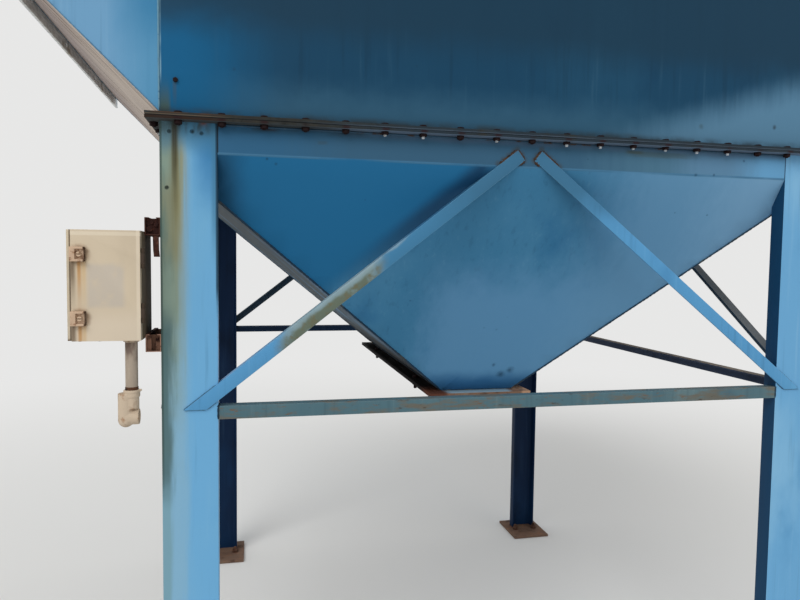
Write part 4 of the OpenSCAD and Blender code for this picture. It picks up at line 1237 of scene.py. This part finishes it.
elbow = cast(finished(from_frame("conduit_elbow")), 1.3 * MM, 5)
show(elbow, "elbow_body", cast_skin, "conduit_elbow", slot="conduit_grey")
PIPE_X, PIPE_Y = -0.96095, -0.9955
elbow_low, elbow_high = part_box("conduit_elbow")
rings, rust_rings = bmesh.new(), bmesh.new()
down_pipe = shifted(PIPE_X, PIPE_Y, elbow_high.z)
thread = ((14.2, -1), (14.8, 1), (14.2, 3.5), (14.6, 5), (13.7, 7))
stack(rust_rings, [(radius * MM, height * MM) for radius, height in thread], down_pipe, 28)
collar = ((17.6, -7), (18.2, -6), (18.2, -1.5), (17.4, -0.4))
stack(rings, [(radius * MM, height * MM) for radius, height in collar], down_pipe, 32)
box_floor = shifted(PIPE_X, PIPE_Y, BOX_LOW.z)
stack(rings, [(16.5 * MM, -6 * MM), (17.5 * MM, -5 * MM), (17.5 * MM, 0.5 * MM)], box_floor, 6)
set_screw = shifted(PIPE_X + 17.5 * MM, PIPE_Y - 3 * MM, elbow_high.z - 1 * MM) @ turned_by(90, "Y")
stack(rings, [(2.4 * MM, -3 * MM), (2.6 * MM, 3 * MM), (2.0 * MM, 4 * MM)], set_screw, 12)
show(finished(rings, 40), "conduit_rings", cast_skin, slot="conduit_grey")
show(finished(rust_rings, 40), "conduit_rust_ring", rusty_weld)

# Studio: a pale floor that fades into an even white surround, and one large soft lamp from the left.
# None of it belongs to the part.
SURROUND = (0.80, 0.80, 0.795, 1)
floor_mesh = bpy.data.meshes.new("floor")
floor_mesh.from_pydata([(-30, -30, 0), (30, -30, 0), (30, 30, 0), (-30, 30, 0)], [], [(0, 1, 2, 3)])
floor = bpy.data.objects.new("floor", floor_mesh)
bpy.context.scene.collection.objects.link(floor)
floor_skin = Finish("floor", (224, 224, 222), 0.9, 0.0, 0.0)
haze = floor_skin.add("Emission", {"Color": SURROUND})
far_off = fade(vector("LENGTH", point_on_part, (0, 0, 0)), 2.6, 7.5)


def seen_by_camera(finish):
    return finish.add("LightPath", {}, "Is Camera Ray")


layers = {0: times(far_off, seen_by_camera), 1: floor_skin.shader.outputs[0], 2: haze}
floor_skin.plug(floor_skin.add("MixShader", layers), floor_skin.tree.nodes["Material Output"].inputs[0])
floor_mesh.materials.append(floor_skin.done())

world = bpy.data.worlds.new("studio")
bpy.context.scene.world = world
world.use_nodes = True
sky = world.node_tree.nodes["Background"]
sky.inputs["Color"].default_value = (1, 1, 1, 1)
sky.inputs["Strength"].default_value = 0.72
seen = world.node_tree.nodes.new("ShaderNodeBackground")
seen.inputs["Color"].default_value = SURROUND
seen.inputs["Strength"].default_value = 1.0
path = world.node_tree.nodes.new("ShaderNodeLightPath")
swap = world.node_tree.nodes.new("ShaderNodeMixShader")
world.node_tree.links.new(path.outputs["Is Camera Ray"], swap.inputs[0])
world.node_tree.links.new(sky.outputs[0], swap.inputs[1])
world.node_tree.links.new(seen.outputs[0], swap.inputs[2])
world.node_tree.links.new(swap.outputs[0], world.node_tree.nodes["World Output"].inputs[0])

lamp = bpy.data.lights.new("key", "SUN")
lamp.energy = 1.25
lamp.angle = math.radians(34)
key = bpy.data.objects.new("key", lamp)
key.rotation_euler = Vector((0.42, 0.62, -0.66)).to_track_quat("-Z", "Y").to_euler()
bpy.context.scene.collection.objects.link(key)

# Camera: at the photograph's viewpoint, chest high in front of the left leg, turned a little right.
# Its place and lens come from fitting the frame's edges, with the leg's channel as the scale.
YAW, DIP, ROLL = 0.2202, 0.0587, 0.0122
FOCUS_PIXELS, IMAGE_PIXELS, SENSOR = 663.48, 800, 36
ahead = Vector((math.sin(YAW) * math.cos(DIP), math.cos(YAW) * math.cos(DIP), -math.sin(DIP)))
level = Vector((math.cos(YAW), -math.sin(YAW), 0))
upright = level.cross(ahead)
across = level * math.cos(ROLL) + upright * math.sin(ROLL)
above = upright * math.cos(ROLL) - level * math.sin(ROLL)
camera = bpy.data.objects.new("camera", bpy.data.cameras.new("camera"))
camera.data.sensor_width = SENSOR
camera.data.lens = FOCUS_PIXELS * SENSOR / IMAGE_PIXELS
turned = Matrix((across, above, -ahead)).transposed().to_4x4()
turned.translation = (-0.6954, -2.5824, 1.5418)
camera.matrix_world = turned
bpy.context.scene.collection.objects.link(camera)
bpy.context.scene.camera = camera
bpy.context.scene.view_settings.view_transform = "Standard"
